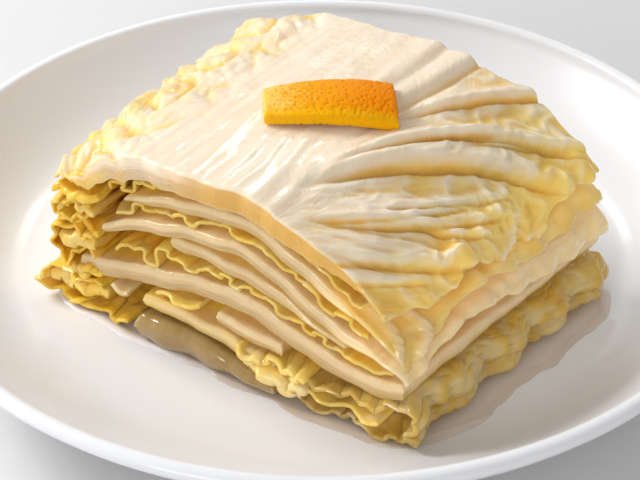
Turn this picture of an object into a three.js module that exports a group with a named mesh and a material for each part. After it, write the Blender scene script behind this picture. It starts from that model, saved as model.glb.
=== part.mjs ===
// A cut block of pale, salt-pickled napa cabbage on a small round white plate,
// with a strip of citrus peel on top.
//
// Units are millimetres, +Z is up. The origin is the centre of the plate's underside.
// The block has its own axes: s runs along the cut face from its left end, t runs
// with the leaves away from the cut face, and z is the height above the plate's floor.
import * as THREE from 'three';

// ---------------------------------------------------------------- plate sizes
const PLATE_RADIUS = 67;
const PLATE_HEIGHT = 17;
const FLOOR_HEIGHT = 6;
const FLOOR_RADIUS = 47;
const FOOT_RADIUS = 34;
const FOOT_WIDTH = 3.5;
const FOOT_RECESS = 2;
const FOOT_SLOPE = [1.2, 1.6];
const RIM_THICKNESS = 2.8;
const UNDERSIDE_BEND = 3;
const INSIDE_BEND = 1.9;
const PLATE_SEGMENTS = 60;

// ---------------------------------------------------------------- block sizes
const BLOCK_ANGLE = THREE.MathUtils.degToRad(-34);
const BLOCK_CORNER = [-44.4, -10.7];
const CUT_WIDTH = 66.5;
const LEAF_LENGTH = 50.5;
const SIDE_FLARE = 0.134;
const CLEARANCE = 0.35;
const FRILL_CLEARANCE = 0.5;
const BLADE_THICKNESS = 0.8;

// The domed top is level between the crest's two ends and falls away to both sides.
const CREST_HEIGHT = 33;
const CREST_SPAN = [35, 38];
const HEM_INSET = 2.5;
const LEFT_FALL = { drop: 11, bend: 3 };
const FRONT_FALL = { drop: 12, bend: 1.9 };
const BACK_FALL = { drop: 9.5, bend: 1.9 };
const CORNER_SAG = { depth: 2.2, place: 9, reach: 7 };

// The block is drawn in at two rounded corners: the back right one, and the front
// left one above its foot.
const BACK_CORNER = { pull: 3, from: 54, to: 70, behind: 14 };
const FRONT_CORNER = { pull: 2.6, to: 14, behind: 7, above: [2, 8] };

// Folds of the top leaf: a fan that opens from its centre, and crinkles on the left.
const FAN = { depth: 1.1, from: 36, full: 58, centre: [32, -16], folds: 13 };
const CRINKLE = { depth: 1.1, full: 2, to: 14, length: 8.5 };
const TOP_LEAF = { middle: 33, reach: 27, thickness: 4, tipShare: 0.6, start: 2.2, front: -0.6 };

// Mid-heights of the layers are given at these distances along the cut face.
const STATIONS = [0, 10, 20, 30, 40, 50, 60, 67];
const STEM_TIP_SHARE = 0.65;
const STEM_NOSE_SHARE = 0.45;
const FOOT_STEM = { from: 20.4, to: 46, thick: 4.6, thin: 2, thinning: [28, 47] };

// ---------------------------------------------------------------- peel sizes
const PEEL_LENGTH = 19.5;
const PEEL_WIDTH = 10.4;
const PEEL_THICKNESS = 1.7;
const PEEL_LIFT = 0.8;
const PEEL_CROWN = 0.5;
const PEEL_CENTRE = [37.4, 25.2];
const PEEL_TURN = THREE.MathUtils.degToRad(37);

// ---------------------------------------------------------------- materials
const FINISH = {
  glaze: { color: 0xeceae6, roughness: 0.18, metalness: 0 },
  topLeaf: { color: 0xf3ead0, roughness: 0.3, metalness: 0 },
  stem: { color: 0xe2d2b0, roughness: 0.28, metalness: 0 },
  blade: { color: 0xe8d27a, roughness: 0.35, metalness: 0 },
  wetLeaf: { color: 0xcdb25c, roughness: 0.25, metalness: 0 },
  peel: { color: 0xf5a30a, roughness: 0.35, metalness: 0 },
};

// ---------------------------------------------------------------- small maths
const { clamp, lerp, smoothstep } = THREE.MathUtils;
const wave = (distance, length, phase) => Math.sin((2 * Math.PI * distance) / length + phase);
const range = (count, make) => Array.from({ length: count }, (_, i) => make(i));

/** Smooth curve through one value at each station. */
function throughStations(values) {
  const last = STATIONS.length - 1;
  const slope = (i) => {
    const before = Math.max(i - 1, 0);
    const after = Math.min(i + 1, last);
    return (values[after] - values[before]) / (STATIONS[after] - STATIONS[before]);
  };
  return (s) => {
    const x = clamp(s, STATIONS[0], STATIONS[last]);
    const i = clamp(STATIONS.findIndex((station) => station > x) - 1, 0, last - 1);
    const start = x >= STATIONS[last] ? last - 1 : i;
    const width = STATIONS[start + 1] - STATIONS[start];
    const f = (x - STATIONS[start]) / width;
    const f2 = f * f;
    const f3 = f2 * f;
    return (2 * f3 - 3 * f2 + 1) * values[start]
      + (f3 - 2 * f2 + f) * width * slope(start)
      + (3 * f2 - 2 * f3) * values[start + 1]
      + (f3 - f2) * width * slope(start + 1);
  };
}

// ---------------------------------------------------------------- block form
const rightMargin = (t) => CUT_WIDTH + SIDE_FLARE * t;

/** Height of the block's domed top without its folds. */
function dome(s, t) {
  const fall = ({ drop, bend }, share) => drop * share ** bend;
  const left = clamp((CREST_SPAN[0] - s) / CREST_SPAN[0], 0, 1);
  const hem = rightMargin(t) - HEM_INSET;
  const right = clamp((s - CREST_SPAN[1]) / (hem - CREST_SPAN[1]), 0, 1.1);
  const back = clamp(t / LEAF_LENGTH, 0, 1);
  const { depth, place, reach } = CORNER_SAG;
  const sag = depth * Math.exp(-(((s - place) / reach) ** 2) - (t / reach) ** 2);
  return CREST_HEIGHT - fall(LEFT_FALL, left)
    - lerp(fall(FRONT_FALL, right), fall(BACK_FALL, right), back) - sag;
}

/** How much taller the block is at t than at its cut face. */
const lift = (s, t) => dome(s, Math.max(t, 0)) / dome(s, 0);

/** Depth of the top leaf's folds at s. */
const fanDepth = (s) => FAN.depth * smoothstep(s, FAN.from, FAN.full);
const crinkleDepth = (s) => CRINKLE.depth * (1 - smoothstep(s, CRINKLE.full, CRINKLE.to));

function topFolds(s, t) {
  const angle = Math.atan2(s - FAN.centre[0], t - FAN.centre[1]);
  const fan = Math.sin(FAN.folds * angle + 0.9 * Math.sin(t / 9));
  const crinkle = wave(t, CRINKLE.length, 0.5 * Math.sin(s / 3));
  return fanDepth(s) * fan + crinkleDepth(s) * crinkle;
}

// ---------------------------------------------------------------- layers
/** The larger of two heights, rounded where they cross. */
const softMax = (a, b) => (a + b + Math.hypot(a - b, 0.5)) / 2;

/** Vertical thickness of a sheet that is "thickness" thick square to its own slope. */
function verticalThickness(thickness, level, s, t) {
  const slope = level(s + 0.5, t) - level(s - 0.5, t);
  return thickness * Math.hypot(1, slope);
}

/**
 * A stem: thick around its middle, thinning to the blade at both sides and towards the
 * leaf's tip. It keeps its own level where it can and lies on the support where it can't.
 */
function stemLayer(levels, stem, support, gap) {
  const atCut = throughStations(levels);
  const level = (s, t) => atCut(s) * lerp(1, lift(s, t), stem.liftShare);
  const thickness = (s, t) => {
    const x = clamp((s - stem.middle) / stem.reach, -1, 1);
    const tip = lerp(1, STEM_TIP_SHARE, clamp(t / LEAF_LENGTH, 0, 1));
    const own = lerp(stem.margin, stem.thickness, 1 - x ** 4) * tip;
    return verticalThickness(own, level, s, t);
  };
  const under = (s, t) => softMax(level(s, t) - thickness(s, t) / 2, support(s, t) + gap);
  const over = (s, t) => under(s, t) + thickness(s, t);
  return { under, over };
}

const FRILL_SLOT = BLADE_THICKNESS + 2 * FRILL_CLEARANCE + 0.2;
const floorLevel = () => CLEARANCE;

const lowStem = stemLayer([5, 6.2, 7.1, 6.9, 5.2, 3.6, 3, 3],
  { middle: 32, reach: 17, thickness: 2.4, margin: 1.3, liftShare: 0 }, floorLevel, CLEARANCE);
const tongueStem = stemLayer([6, 7, 8, 8.9, 8.5, 7.4, 5, 5],
  { middle: 39, reach: 12, thickness: 2.2, margin: 1.8, liftShare: 0 }, lowStem.over, CLEARANCE);
const longStem = stemLayer([8.6, 8.8, 10.9, 12.8, 13.3, 10.3, 8.2, 9.7],
  { middle: 36, reach: 34, thickness: 3.3, margin: 2.6, liftShare: 0.1 }, floorLevel, CLEARANCE);
const innerLow = stemLayer([12.4, 13.8, 17.6, 19.2, 17.8, 14.5, 12.2, 12.7],
  { middle: 36, reach: 15, thickness: 2.3, margin: 0.8, liftShare: 0.4 }, longStem.over, FRILL_SLOT);
const innerHigh = stemLayer([13.6, 15.0, 19.9, 22.0, 22.9, 18.2, 14.2, 14.0],
  { middle: 38, reach: 27, thickness: 2.2, margin: 0.9, liftShare: 0.6 }, innerLow.over, CLEARANCE);
const upperStem = stemLayer([17.6, 20.4, 23.9, 25.1, 26.5, 23.0, 17.4, 16.2],
  { middle: 41, reach: 22, thickness: 2.2, margin: 0.9, liftShare: 0.7 }, innerHigh.over, FRILL_SLOT);

/** Top leaf: its upper face is the folded dome. */
const topLeaf = {
  thickness(s, t) {
    const x = clamp((s - TOP_LEAF.middle) / TOP_LEAF.reach, -1, 1);
    const tip = lerp(1, TOP_LEAF.tipShare, clamp(t / LEAF_LENGTH, 0, 1));
    const own = lerp(BLADE_THICKNESS, TOP_LEAF.thickness, 1 - x ** 4) * tip;
    return verticalThickness(own, dome, s, t);
  },
  over(s, t) {
    const lowest = upperStem.over(s, t) + FRILL_SLOT + topLeaf.thickness(s, t);
    return softMax(dome(s, t) + topFolds(s, t), lowest);
  },
  under: (s, t) => topLeaf.over(s, t) - topLeaf.thickness(s, t),
  /** Smooth surface that stays under the folds. */
  ceiling(s, t) {
    const smooth = dome(s, t) - 0.8 * (fanDepth(s) + crinkleDepth(s)) - topLeaf.thickness(s, t);
    return softMax(smooth, upperStem.over(s, t) + FRILL_SLOT - 0.2);
  },
};

/** Thin frilled blade that waves up and down in the slot between two faces. */
function frillLayer(support, ceiling, waveLength, phase) {
  const under = (s, t) => {
    const lowest = support(s, t) + FRILL_CLEARANCE;
    const highest = ceiling(s, t) - FRILL_CLEARANCE - BLADE_THICKNESS;
    const edge = clamp(t / LEAF_LENGTH, 0, 1);
    const showing = 0.25 + 0.75 * (1 - smoothstep(Math.min(edge, 1 - edge), 0.02, 0.3));
    const ripple = showing * wave(s, waveLength, phase + 0.8 * Math.sin(t / 8 + phase));
    return lerp(lowest, highest, 0.5 + 0.5 * ripple);
  };
  return { under, over: (s, t) => under(s, t) + BLADE_THICKNESS };
}

/** Draws a point of the block in where it stands at one of the rounded corners. */
function drawnIn([s, t, z]) {
  const { pull, from, to, behind } = BACK_CORNER;
  const front = FRONT_CORNER;
  const nearLeft = (1 - smoothstep(s, 0, front.to)) * (1 - smoothstep(t, 0, front.behind));
  return [
    s + front.pull * nearLeft * smoothstep(z, ...front.above),
    t - pull * smoothstep(s, from, to) * smoothstep(t, behind, LEAF_LENGTH),
    z,
  ];
}

// ---------------------------------------------------------------- sheet solids
/**
 * Closed solid between the upper and the lower face of a sheet. upper(u, v) and
 * lower(u, v) give [s, t, z]. Both faces are split into triangles alike.
 */
function sheetSolid(columns, rows, upper, lower) {
  const points = [upper, lower].map((face) => (
    rows.flatMap((v) => columns.map((u) => drawnIn(face(u, v))))));
  const across = columns.length;
  const along = rows.length;
  const count = across * along;
  const index = [];
  const quad = (a, b, c, d) => index.push(a, b, c, a, c, d);
  for (let row = 0; row < along - 1; row += 1) {
    for (let column = 0; column < across - 1; column += 1) {
      const a = row * across + column;
      const b = a + 1;
      const c = b + across;
      const d = a + across;
      quad(a, b, c, d);
      index.push(a + count, c + count, b + count, a + count, d + count, c + count);
    }
  }
  const border = [
    ...range(across - 1, (i) => i),
    ...range(along - 1, (i) => i * across + across - 1),
    ...range(across - 1, (i) => count - 1 - i),
    ...range(along - 1, (i) => (along - 1 - i) * across),
  ];
  border.forEach((a, i) => {
    const b = border[(i + 1) % border.length];
    quad(b, a, a + count, b + count);
  });
  const geometry = new THREE.BufferGeometry();
  geometry.setAttribute('position', new THREE.Float32BufferAttribute(points.flat(2), 3));
  geometry.setIndex(index);
  geometry.computeVertexNormals();
  return geometry;
}

/** Sheet of one thickness laid off square to the section that middle(u, v) draws. */
function foldedSheet(columns, rows, middle, thickness) {
  const step = 1e-3;
  const face = (side) => (u, v) => {
    const [s, t, z] = middle(u, v);
    const before = middle(Math.max(u - step, 0), v);
    const after = middle(Math.min(u + step, 1), v);
    const along = [after[0] - before[0], after[2] - before[2]];
    const reach = (side * thickness) / 2 / Math.hypot(...along);
    return [s - along[1] * reach, t, z + along[0] * reach];
  };
  return sheetSolid(columns, rows, face(1), face(-1));
}

function piece(name, geometry, finish) {
  const mesh = new THREE.Mesh(geometry, new THREE.MeshStandardMaterial(FINISH[finish]));
  mesh.name = name;
  return mesh;
}

const evenly = (count) => range(count + 1, (i) => i / count);
/** Parameters from 0 to 1 that crowd towards both ends. */
const crowded = (count) => evenly(count).map((x) => x - 0.11 * Math.sin(2 * Math.PI * x));

/**
 * Stem of a layer between two distances along the cut face. Its ends wander by
 * "ragged" and are rounded over "nose" of its width.
 */
function stemPiece(name, finish, shape, span) {
  const { from, to, front = 0, ragged = 0.6, nose = 0.03, columns, rows, phase } = span;
  const place = (u, v) => {
    const t = lerp(front, LEAF_LENGTH - front, v) + 0.5 * wave(u, 0.45, phase) * (1 - v);
    const start = from + ragged * wave(t, 17, phase);
    const end = to + SIDE_FLARE * t * (to / CUT_WIDTH) + ragged * wave(t, 15, phase + 2);
    return [lerp(start, end, u), t];
  };
  const face = (side) => (u, v) => {
    const [s, t] = place(u, v);
    const [under, over] = [shape.under(s, t), shape.over(s, t)];
    const end = clamp(Math.min(u, 1 - u) / nose, 0, 1);
    const share = lerp(STEM_NOSE_SHARE, 1, Math.sqrt(1 - (1 - end) ** 2));
    return [s, t, (under + over) / 2 + (side * share * (over - under)) / 2];
  };
  return piece(name, sheetSolid(crowded(columns), crowded(rows), face(1), face(-1)), finish);
}

// ---------------------------------------------------------------- pieces
/** Turned plate: a foot ring, a thin rounded rim and a flat floor. */
function buildPlate() {
  const rimRound = RIM_THICKNESS / 2;
  const rimCentre = [PLATE_RADIUS - rimRound, PLATE_HEIGHT - rimRound];
  const footInside = FOOT_RADIUS - FOOT_WIDTH;
  const footOutside = FOOT_RADIUS + FOOT_SLOPE[1];
  const wall = (inner, outer, low, bend, count) => range(count, (i) => {
    const x = (i + 1) / count;
    return [lerp(inner, outer, x), lerp(low, rimCentre[1], x ** bend)];
  });
  const underside = wall(footOutside, PLATE_RADIUS, FOOT_RECESS, UNDERSIDE_BEND, 5);
  const rim = [60, 120, 180].map(THREE.MathUtils.degToRad).map((angle) => (
    [rimCentre[0] + rimRound * Math.cos(angle), rimCentre[1] + rimRound * Math.sin(angle)]));
  const inside = wall(FLOOR_RADIUS, PLATE_RADIUS - RIM_THICKNESS, FLOOR_HEIGHT, INSIDE_BEND, 4);
  const profile = [
    [0, FOOT_RECESS],
    [footInside - FOOT_SLOPE[0], FOOT_RECESS],
    [footInside, 0],
    [FOOT_RADIUS, 0],
    [footOutside, FOOT_RECESS],
    ...underside,
    ...rim,
    ...inside.slice(0, -1).reverse(),
    [FLOOR_RADIUS, FLOOR_HEIGHT],
    [0, FLOOR_HEIGHT],
  ].map(([radius, height]) => new THREE.Vector2(radius, height));
  const geometry = new THREE.LatheGeometry(profile, PLATE_SEGMENTS);
  geometry.rotateX(Math.PI / 2);
  return piece('plate', geometry, 'glaze');
}

/** Top leaf with its wandering left margin and its scalloped right hem. */
function buildTopLeaf() {
  const face = (side) => (u, v) => {
    const t = lerp(TOP_LEAF.front, LEAF_LENGTH - TOP_LEAF.front, v) + 0.5 * wave(u, 0.3, 1);
    const start = TOP_LEAF.start + 0.9 * wave(t, 8.5, 0.4);
    const end = rightMargin(t) - HEM_INSET + wave(t, 11, 0);
    const s = lerp(start, end, u);
    return [s, t, topLeaf[side](s, t)];
  };
  return piece('leaf_top', sheetSolid(evenly(36), evenly(15), face('over'), face('under')), 'topLeaf');
}

/** Frilled blade between two distances along the cut face; both of its ends wander. */
function buildFrill(name, shape, span) {
  const { from, to, front, phase, columns = 32, rows = 7 } = span;
  const face = (side) => (u, v) => {
    const t = lerp(front, LEAF_LENGTH - 0.5 * front, v) + 0.6 * wave(u, 0.21, phase);
    const start = from + 1.1 * wave(t, 13, phase);
    const end = to + SIDE_FLARE * t + 0.9 * wave(t, 12, phase + 1);
    const s = lerp(start, end, u);
    return [s, t, shape[side](s, t)];
  };
  return piece(name, sheetSolid(evenly(columns), crowded(rows), face('over'), face('under')), 'blade');
}

/**
 * Leaf whose section is a smooth curve through a few [s, z] points, swept along t with
 * ripples. It can fold back over itself. Its points run so that its left side is up.
 */
function foldedLeaf(name, finish, fold) {
  const { path, thickness, columns, rows, phase, ripple = 0.35, front = -1, liftShare = 0 } = fold;
  const section = new THREE.SplineCurve(path.map(([s, z]) => new THREE.Vector2(s, z)));
  const length = section.getLength();
  const middle = (u, v) => {
    const t = lerp(front, LEAF_LENGTH + 0.4 * front, v) + 0.5 * wave(u, 0.5, phase);
    const point = section.getPointAt(u);
    const raise = lerp(1, lift(point.x, t), liftShare);
    const sway = 0.8 * wave(t, 12, phase) * Math.sin(Math.PI * u);
    const bend = ripple * wave(u * length, 9, phase + t / 11);
    return [point.x * (1 + (SIDE_FLARE * t) / CUT_WIDTH) + sway, t, (point.y + bend) * raise];
  };
  return piece(name, foldedSheet(evenly(columns), evenly(rows), middle, thickness), finish);
}

/** Stem that lies flat on the plate and gets thinner to the right. */
function buildFootStem() {
  const { from, to, thick, thin, thinning } = FOOT_STEM;
  const over = (s) => CLEARANCE + lerp(thick, thin, smoothstep(s, ...thinning));
  return stemPiece('stem_foot', 'wetLeaf', { under: floorLevel, over },
    { from, to, front: -2.2, ragged: 0.3, columns: 12, rows: 4, nose: 0.07, phase: 0 });
}

/** Strip of citrus peel that follows the dome, with a crowned face. */
function buildPeel() {
  const face = (side) => (u, v) => {
    const x = (u - 0.5) * PEEL_LENGTH;
    const y = (v - 0.5) * PEEL_WIDTH;
    const s = PEEL_CENTRE[0] + x * Math.cos(PEEL_TURN) - y * Math.sin(PEEL_TURN);
    const t = PEEL_CENTRE[1] + x * Math.sin(PEEL_TURN) + y * Math.cos(PEEL_TURN);
    const crown = PEEL_CROWN * (1 - (2 * v - 1) ** 2);
    return [s, t, dome(s, t) + PEEL_LIFT + crown + side * PEEL_THICKNESS];
  };
  return piece('peel', sheetSolid(evenly(12), evenly(5), face(1), face(0)), 'peel');
}

// ---------------------------------------------------------------- assembly
const block = new THREE.Group();
block.position.set(BLOCK_CORNER[0], BLOCK_CORNER[1], FLOOR_HEIGHT);
block.rotation.z = BLOCK_ANGLE;

block.add(
  foldedLeaf('leaf_foot_left', 'wetLeaf', {
    path: [[18, 1.3], [12, 1.2], [5, 1.1], [1.2, 1.5], [0, 3.5], [1.2, 5.6], [5, 6], [9, 5.9],
      [13.4, 5.8]].reverse(),
    thickness: 0.9, columns: 20, rows: 7, phase: 0.5, ripple: 0.2 }),
  foldedLeaf('curl_low', 'stem', {
    path: [[14.8, 7], [16.6, 7], [18.6, 7.5]],
    thickness: 0.9, columns: 8, rows: 4, phase: 2.5, ripple: 0.1 }),
  buildFootStem(),
  foldedLeaf('leaf_foot_right', 'wetLeaf', {
    path: [[48.4, 1.2], [55, 1.2], [62, 1.2], [66.5, 1.6], [68.2, 3.5], [67.2, 5.7], [64.4, 6.4],
      [58, 5.1], [49.5, 5.1]],
    thickness: 0.9, columns: 20, rows: 7, phase: 2, ripple: 0.25 }),
  foldedLeaf('frill_foot', 'blade', {
    path: [[47.6, 3], [51, 3.4], [54, 2.7], [57, 3.2], [60, 2.7], [63, 3.2]],
    thickness: 0.7, columns: 14, rows: 5, phase: 1.2, ripple: 0.12 }),
  stemPiece('stem_low', 'stem', lowStem,
    { from: 21.4, to: 45, front: -0.8, columns: 12, rows: 4, phase: 1, nose: 0.05 }),
  stemPiece('stem_tongue', 'stem', tongueStem,
    { from: 34.6, to: 46, front: -0.4, ragged: 0.2, columns: 8, rows: 4, phase: 2, nose: 0.08 }),
  foldedLeaf('frill_low', 'blade', {
    path: [[23.4, 9], [25.6, 9.8], [28, 9.3], [31.6, 10]],
    thickness: 0.7, columns: 8, rows: 4, phase: 0.9, ripple: 0.08 }),
  stemPiece('stem_long', 'stem', longStem,
    { from: 7.4, to: 66.5, front: 0, ragged: 0.2, columns: 24, rows: 5, phase: 2 }),
  foldedLeaf('curl_left_low', 'blade', {
    path: [[12, 11.6], [8.8, 11.5], [6.2, 10.4], [4.4, 8.3], [2.4, 9.6], [1.9, 12], [2.9, 14.3],
      [5.8, 15], [8.9, 14.6], [12.4, 15]].reverse(),
    thickness: 0.8, columns: 18, rows: 6, phase: 4, ripple: 0.15 }),
  buildFrill('frill_middle', frillLayer(longStem.over, innerLow.under, 8.2, 0.3),
    { from: 15, to: 65, front: 0.8, phase: 0.4 }),
  stemPiece('stem_inner_low', 'stem', innerLow,
    { from: 26, to: 56, front: 0.3, columns: 14, rows: 5, phase: 3, nose: 0.04 }),
  stemPiece('stem_inner_high', 'stem', innerHigh,
    { from: 14, to: 66, front: -0.5, columns: 24, rows: 6, phase: 4, nose: 0.03 }),
  foldedLeaf('curl_left_high', 'blade', {
    path: [[12, 18.4], [7.5, 17.3], [4.2, 16.7], [2.5, 17.6], [2.8, 19.1], [5, 19.6], [8.4, 20.2],
      [12.6, 21.2]].reverse(),
    thickness: 0.8, columns: 16, rows: 6, phase: 5.2, ripple: 0.12 }),
  buildFrill('frill_inner', frillLayer(innerHigh.over, upperStem.under, 7.3, 1.9),
    { from: 15.5, to: 65, front: 0.6, phase: 1.7 }),
  stemPiece('stem_upper', 'stem', upperStem,
    { from: 18, to: 65, front: 0.4, columns: 22, rows: 6, phase: 5, nose: 0.03 }),
  buildFrill('frill_upper', frillLayer(upperStem.over, topLeaf.ceiling, 7.9, 4.2),
    { from: 15.5, to: 62.5, front: 1.2, phase: 3.1 }),
  buildTopLeaf(),
  buildPeel(),
);

const kimchi = new THREE.Group();
kimchi.add(buildPlate(), block);

export default kimchi;
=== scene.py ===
"""Visible meshes, finishes, light and camera of a cut block of pale pickled napa cabbage.

Shapes are worked out in millimetres on the block's own axes: s runs along the cut face
from its left end, t runs with the leaves away from the cut face, and z is the height
above the plate's floor. They are turned into the frame's metres when a mesh is made.
"""

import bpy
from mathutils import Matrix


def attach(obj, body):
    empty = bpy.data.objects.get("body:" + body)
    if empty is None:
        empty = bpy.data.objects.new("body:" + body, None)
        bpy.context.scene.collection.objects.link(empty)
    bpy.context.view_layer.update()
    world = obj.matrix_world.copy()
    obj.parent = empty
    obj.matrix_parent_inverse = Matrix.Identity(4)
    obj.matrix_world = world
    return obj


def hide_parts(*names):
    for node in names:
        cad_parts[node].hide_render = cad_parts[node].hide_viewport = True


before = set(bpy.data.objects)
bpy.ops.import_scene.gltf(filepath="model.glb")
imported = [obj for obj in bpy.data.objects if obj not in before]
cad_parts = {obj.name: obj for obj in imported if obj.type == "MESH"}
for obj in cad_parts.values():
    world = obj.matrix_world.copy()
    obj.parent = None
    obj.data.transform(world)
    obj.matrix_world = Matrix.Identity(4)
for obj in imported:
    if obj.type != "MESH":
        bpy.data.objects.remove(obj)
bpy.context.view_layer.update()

import logging
import math
from abc import ABC, abstractmethod
from dataclasses import dataclass, field
from enum import Enum
from typing import Callable, Optional, Sequence, Union

import bmesh
import bpy
import numpy as np
from mathutils import Matrix, Vector

logging.basicConfig(level=logging.INFO, format="%(message)s")
log = logging.getLogger("kimchi")

MM = 0.001
Grid = np.ndarray
Level = Callable[[Grid, Grid], Grid]
Pair = tuple[float, float]
Triple = tuple[float, float, float]
Colour = Triple

# ------------------------------------------------------------------ driving sizes, mm
CUT_WIDTH = 66.5  # of the cut face
LEAF_LENGTH = 50.5  # from the cut face to the back
SIDE_FLARE = 0.134  # how far the right side stands out for each millimetre behind the cut face
CREST_HEIGHT = 33.0  # of the block above the plate's floor
CREST = (35.0, 38.0)  # where along the cut face the crest begins and ends
LEFT_DROP, LEFT_BEND = 11.0, 3  # how far the top falls to the left side, and how late
RIGHT_DROPS, RIGHT_BEND = (12.0, 9.5), 1.9  # to the right side, at the cut face and at the back
CORNER_SAG, SAG_PLACE, SAG_REACH = 2.2, 9, 7  # sag of the top near the front left corner
FLOOR_HEIGHT = 6.0  # of the plate's floor above the table
CLEARANCE = 0.35  # between leaves that lie on each other
AIR = 0.12  # that a thin blade keeps from what it lies on
BLADE_THICKNESS = 0.8
FRILL_CLEARANCE = 0.5
FRILL_SLOT = BLADE_THICKNESS + 2 * FRILL_CLEARANCE + 0.2
STATIONS = np.array([0.0, 10, 20, 30, 40, 50, 60, 67])  # where the stems' levels are given


class Slot(Enum):
    """The record's material slots."""

    GLAZE = "plate_glaze"
    TOP = "top_leaf"
    STEM = "stem"
    BLADE = "blade"
    WET = "wet_leaf"
    PEEL = "citrus_peel"


# ------------------------------------------------------------------ small maths
def step_between(x: Grid, low: float, high: float) -> Grid:
    """Smooth rise from 0 at low to 1 at high."""
    f = np.clip((x - low) / (high - low), 0, 1)
    return f * f * (3 - 2 * f)


def fall_between(x: Grid, low: float, high: float) -> Grid:
    """Smooth fall from 1 at low to 0 at high."""
    return 1 - step_between(x, low, high)


def lerp(a: Grid, b: Grid, f: Grid) -> Grid:
    """The value that lies f of the way from a to b."""
    return a + (b - a) * f


def wave(distance: Grid, length: float, phase: Union[Grid, float]) -> Grid:
    """A sine wave of the given length."""
    return np.sin(2 * np.pi * distance / length + phase)


def soft_max(a: Grid, b: Grid, blend: float = 0.5) -> Grid:
    """The larger of two heights, rounded where they cross."""
    return (a + b + np.hypot(a - b, blend)) / 2


def hermite(f: Grid, first: Grid, leaving: Grid, last: Grid, arriving: Grid) -> Grid:
    """Cubic curve between two values with given slopes.

    Args:
        f: Share of the way, from 0 to 1.
        first: Value at 0.
        leaving: Slope there.
        last: Value at 1.
        arriving: Slope there.

    Returns:
        Values at f.
    """
    return (
        (2 * f**3 - 3 * f**2 + 1) * first
        + (f**3 - 2 * f**2 + f) * leaving
        + (3 * f**2 - 2 * f**3) * last
        + (f**3 - f**2) * arriving
    )


def softened(values: Grid, passes: int) -> Grid:
    """Averages a grid with its neighbours, several times over.

    Args:
        values: Grid of rows and columns.
        passes: How many times it is averaged.

    Returns:
        The blurred grid.
    """
    out = values.copy()
    for _ in range(passes):
        for axis in (0, 1):
            padded = np.concatenate([out.take([0], axis), out, out.take([-1], axis)], axis)
            n = out.shape[axis]
            before, after = padded.take(range(n), axis), padded.take(range(2, n + 2), axis)
            out = (before + 2 * out + after) / 4
    return out


class Wrinkles:
    """Smooth seeded noise for everything that grew or creased unevenly."""

    def __init__(self, seed: int) -> None:
        """Draws the lattice of slopes.

        Args:
            seed: Number that fixes the draw.
        """
        draw = np.random.default_rng(seed)
        self.order = draw.permutation(256)
        self.slope = draw.uniform(0, 2 * np.pi, 256)

    def at(self, x: Grid, y: Grid) -> Grid:
        """Noise at points given in units of its own lattice.

        Args:
            x: First coordinate.
            y: Second coordinate.

        Returns:
            Values from about -1 to 1.
        """
        x, y = np.broadcast_arrays(x, y)
        xi, yi = np.floor(x).astype(int), np.floor(y).astype(int)
        xf, yf = x - xi, y - yi
        u, v = (f**3 * (f * (6 * f - 15) + 10) for f in (xf, yf))

        def corner(dx: int, dy: int) -> Grid:
            """Share of one lattice corner."""
            turn = self.slope[self.order[(self.order[(xi + dx) & 255] + yi + dy) & 255]]
            return np.cos(turn) * (xf - dx) + np.sin(turn) * (yf - dy)

        low = lerp(corner(0, 0), corner(1, 0), u)
        high = lerp(corner(0, 1), corner(1, 1), u)
        return 1.5 * lerp(low, high, v)

    def layered(self, x: Grid, y: Grid, octaves: int) -> Grid:
        """Noise with finer noise on top of it.

        Args:
            x: First coordinate.
            y: Second coordinate.
            octaves: How many layers.

        Returns:
            The sum of the layers.
        """
        shares = [2**k for k in range(octaves)]
        return sum(
            self.at(x * f + 7.3 * k, y * f - 3.1 * k) / f for k, f in enumerate(shares)
        )

    def creased(self, x: Grid, y: Grid) -> Grid:
        """Rounded lobes with sharp valleys between them, from 0 to about 1."""
        return np.abs(self.at(x, y)) ** 0.7 * 1.25


def through_stations(values: Sequence[float], places: Grid = STATIONS) -> Callable[[Grid], Grid]:
    """Smooth curve through one value at each station.

    Args:
        values: Heights at the stations.
        places: Where the stations are, along the cut face if nothing else is given.

    Returns:
        Height as a function of the distance.
    """
    heights = np.array(values, float)
    last = len(places) - 1
    after = np.minimum(np.arange(last + 1) + 1, last)
    before = np.maximum(np.arange(last + 1) - 1, 0)
    slopes = (heights[after] - heights[before]) / (places[after] - places[before])

    def curve(s: Grid) -> Grid:
        """Height at s."""
        x = np.clip(s, places[0], places[-1])
        i = np.clip(np.searchsorted(places, x, "right") - 1, 0, last - 1)
        width = places[i + 1] - places[i]
        f = (x - places[i]) / width
        return hermite(
            f, heights[i], width * slopes[i], heights[i + 1], width * slopes[i + 1]
        )

    return curve


def through(points: Sequence[Pair]) -> Callable[[Grid], Grid]:
    """Smooth curve through a few points of distance and height."""
    places, heights = np.array(points, float).T
    return through_stations(heights, places)


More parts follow.
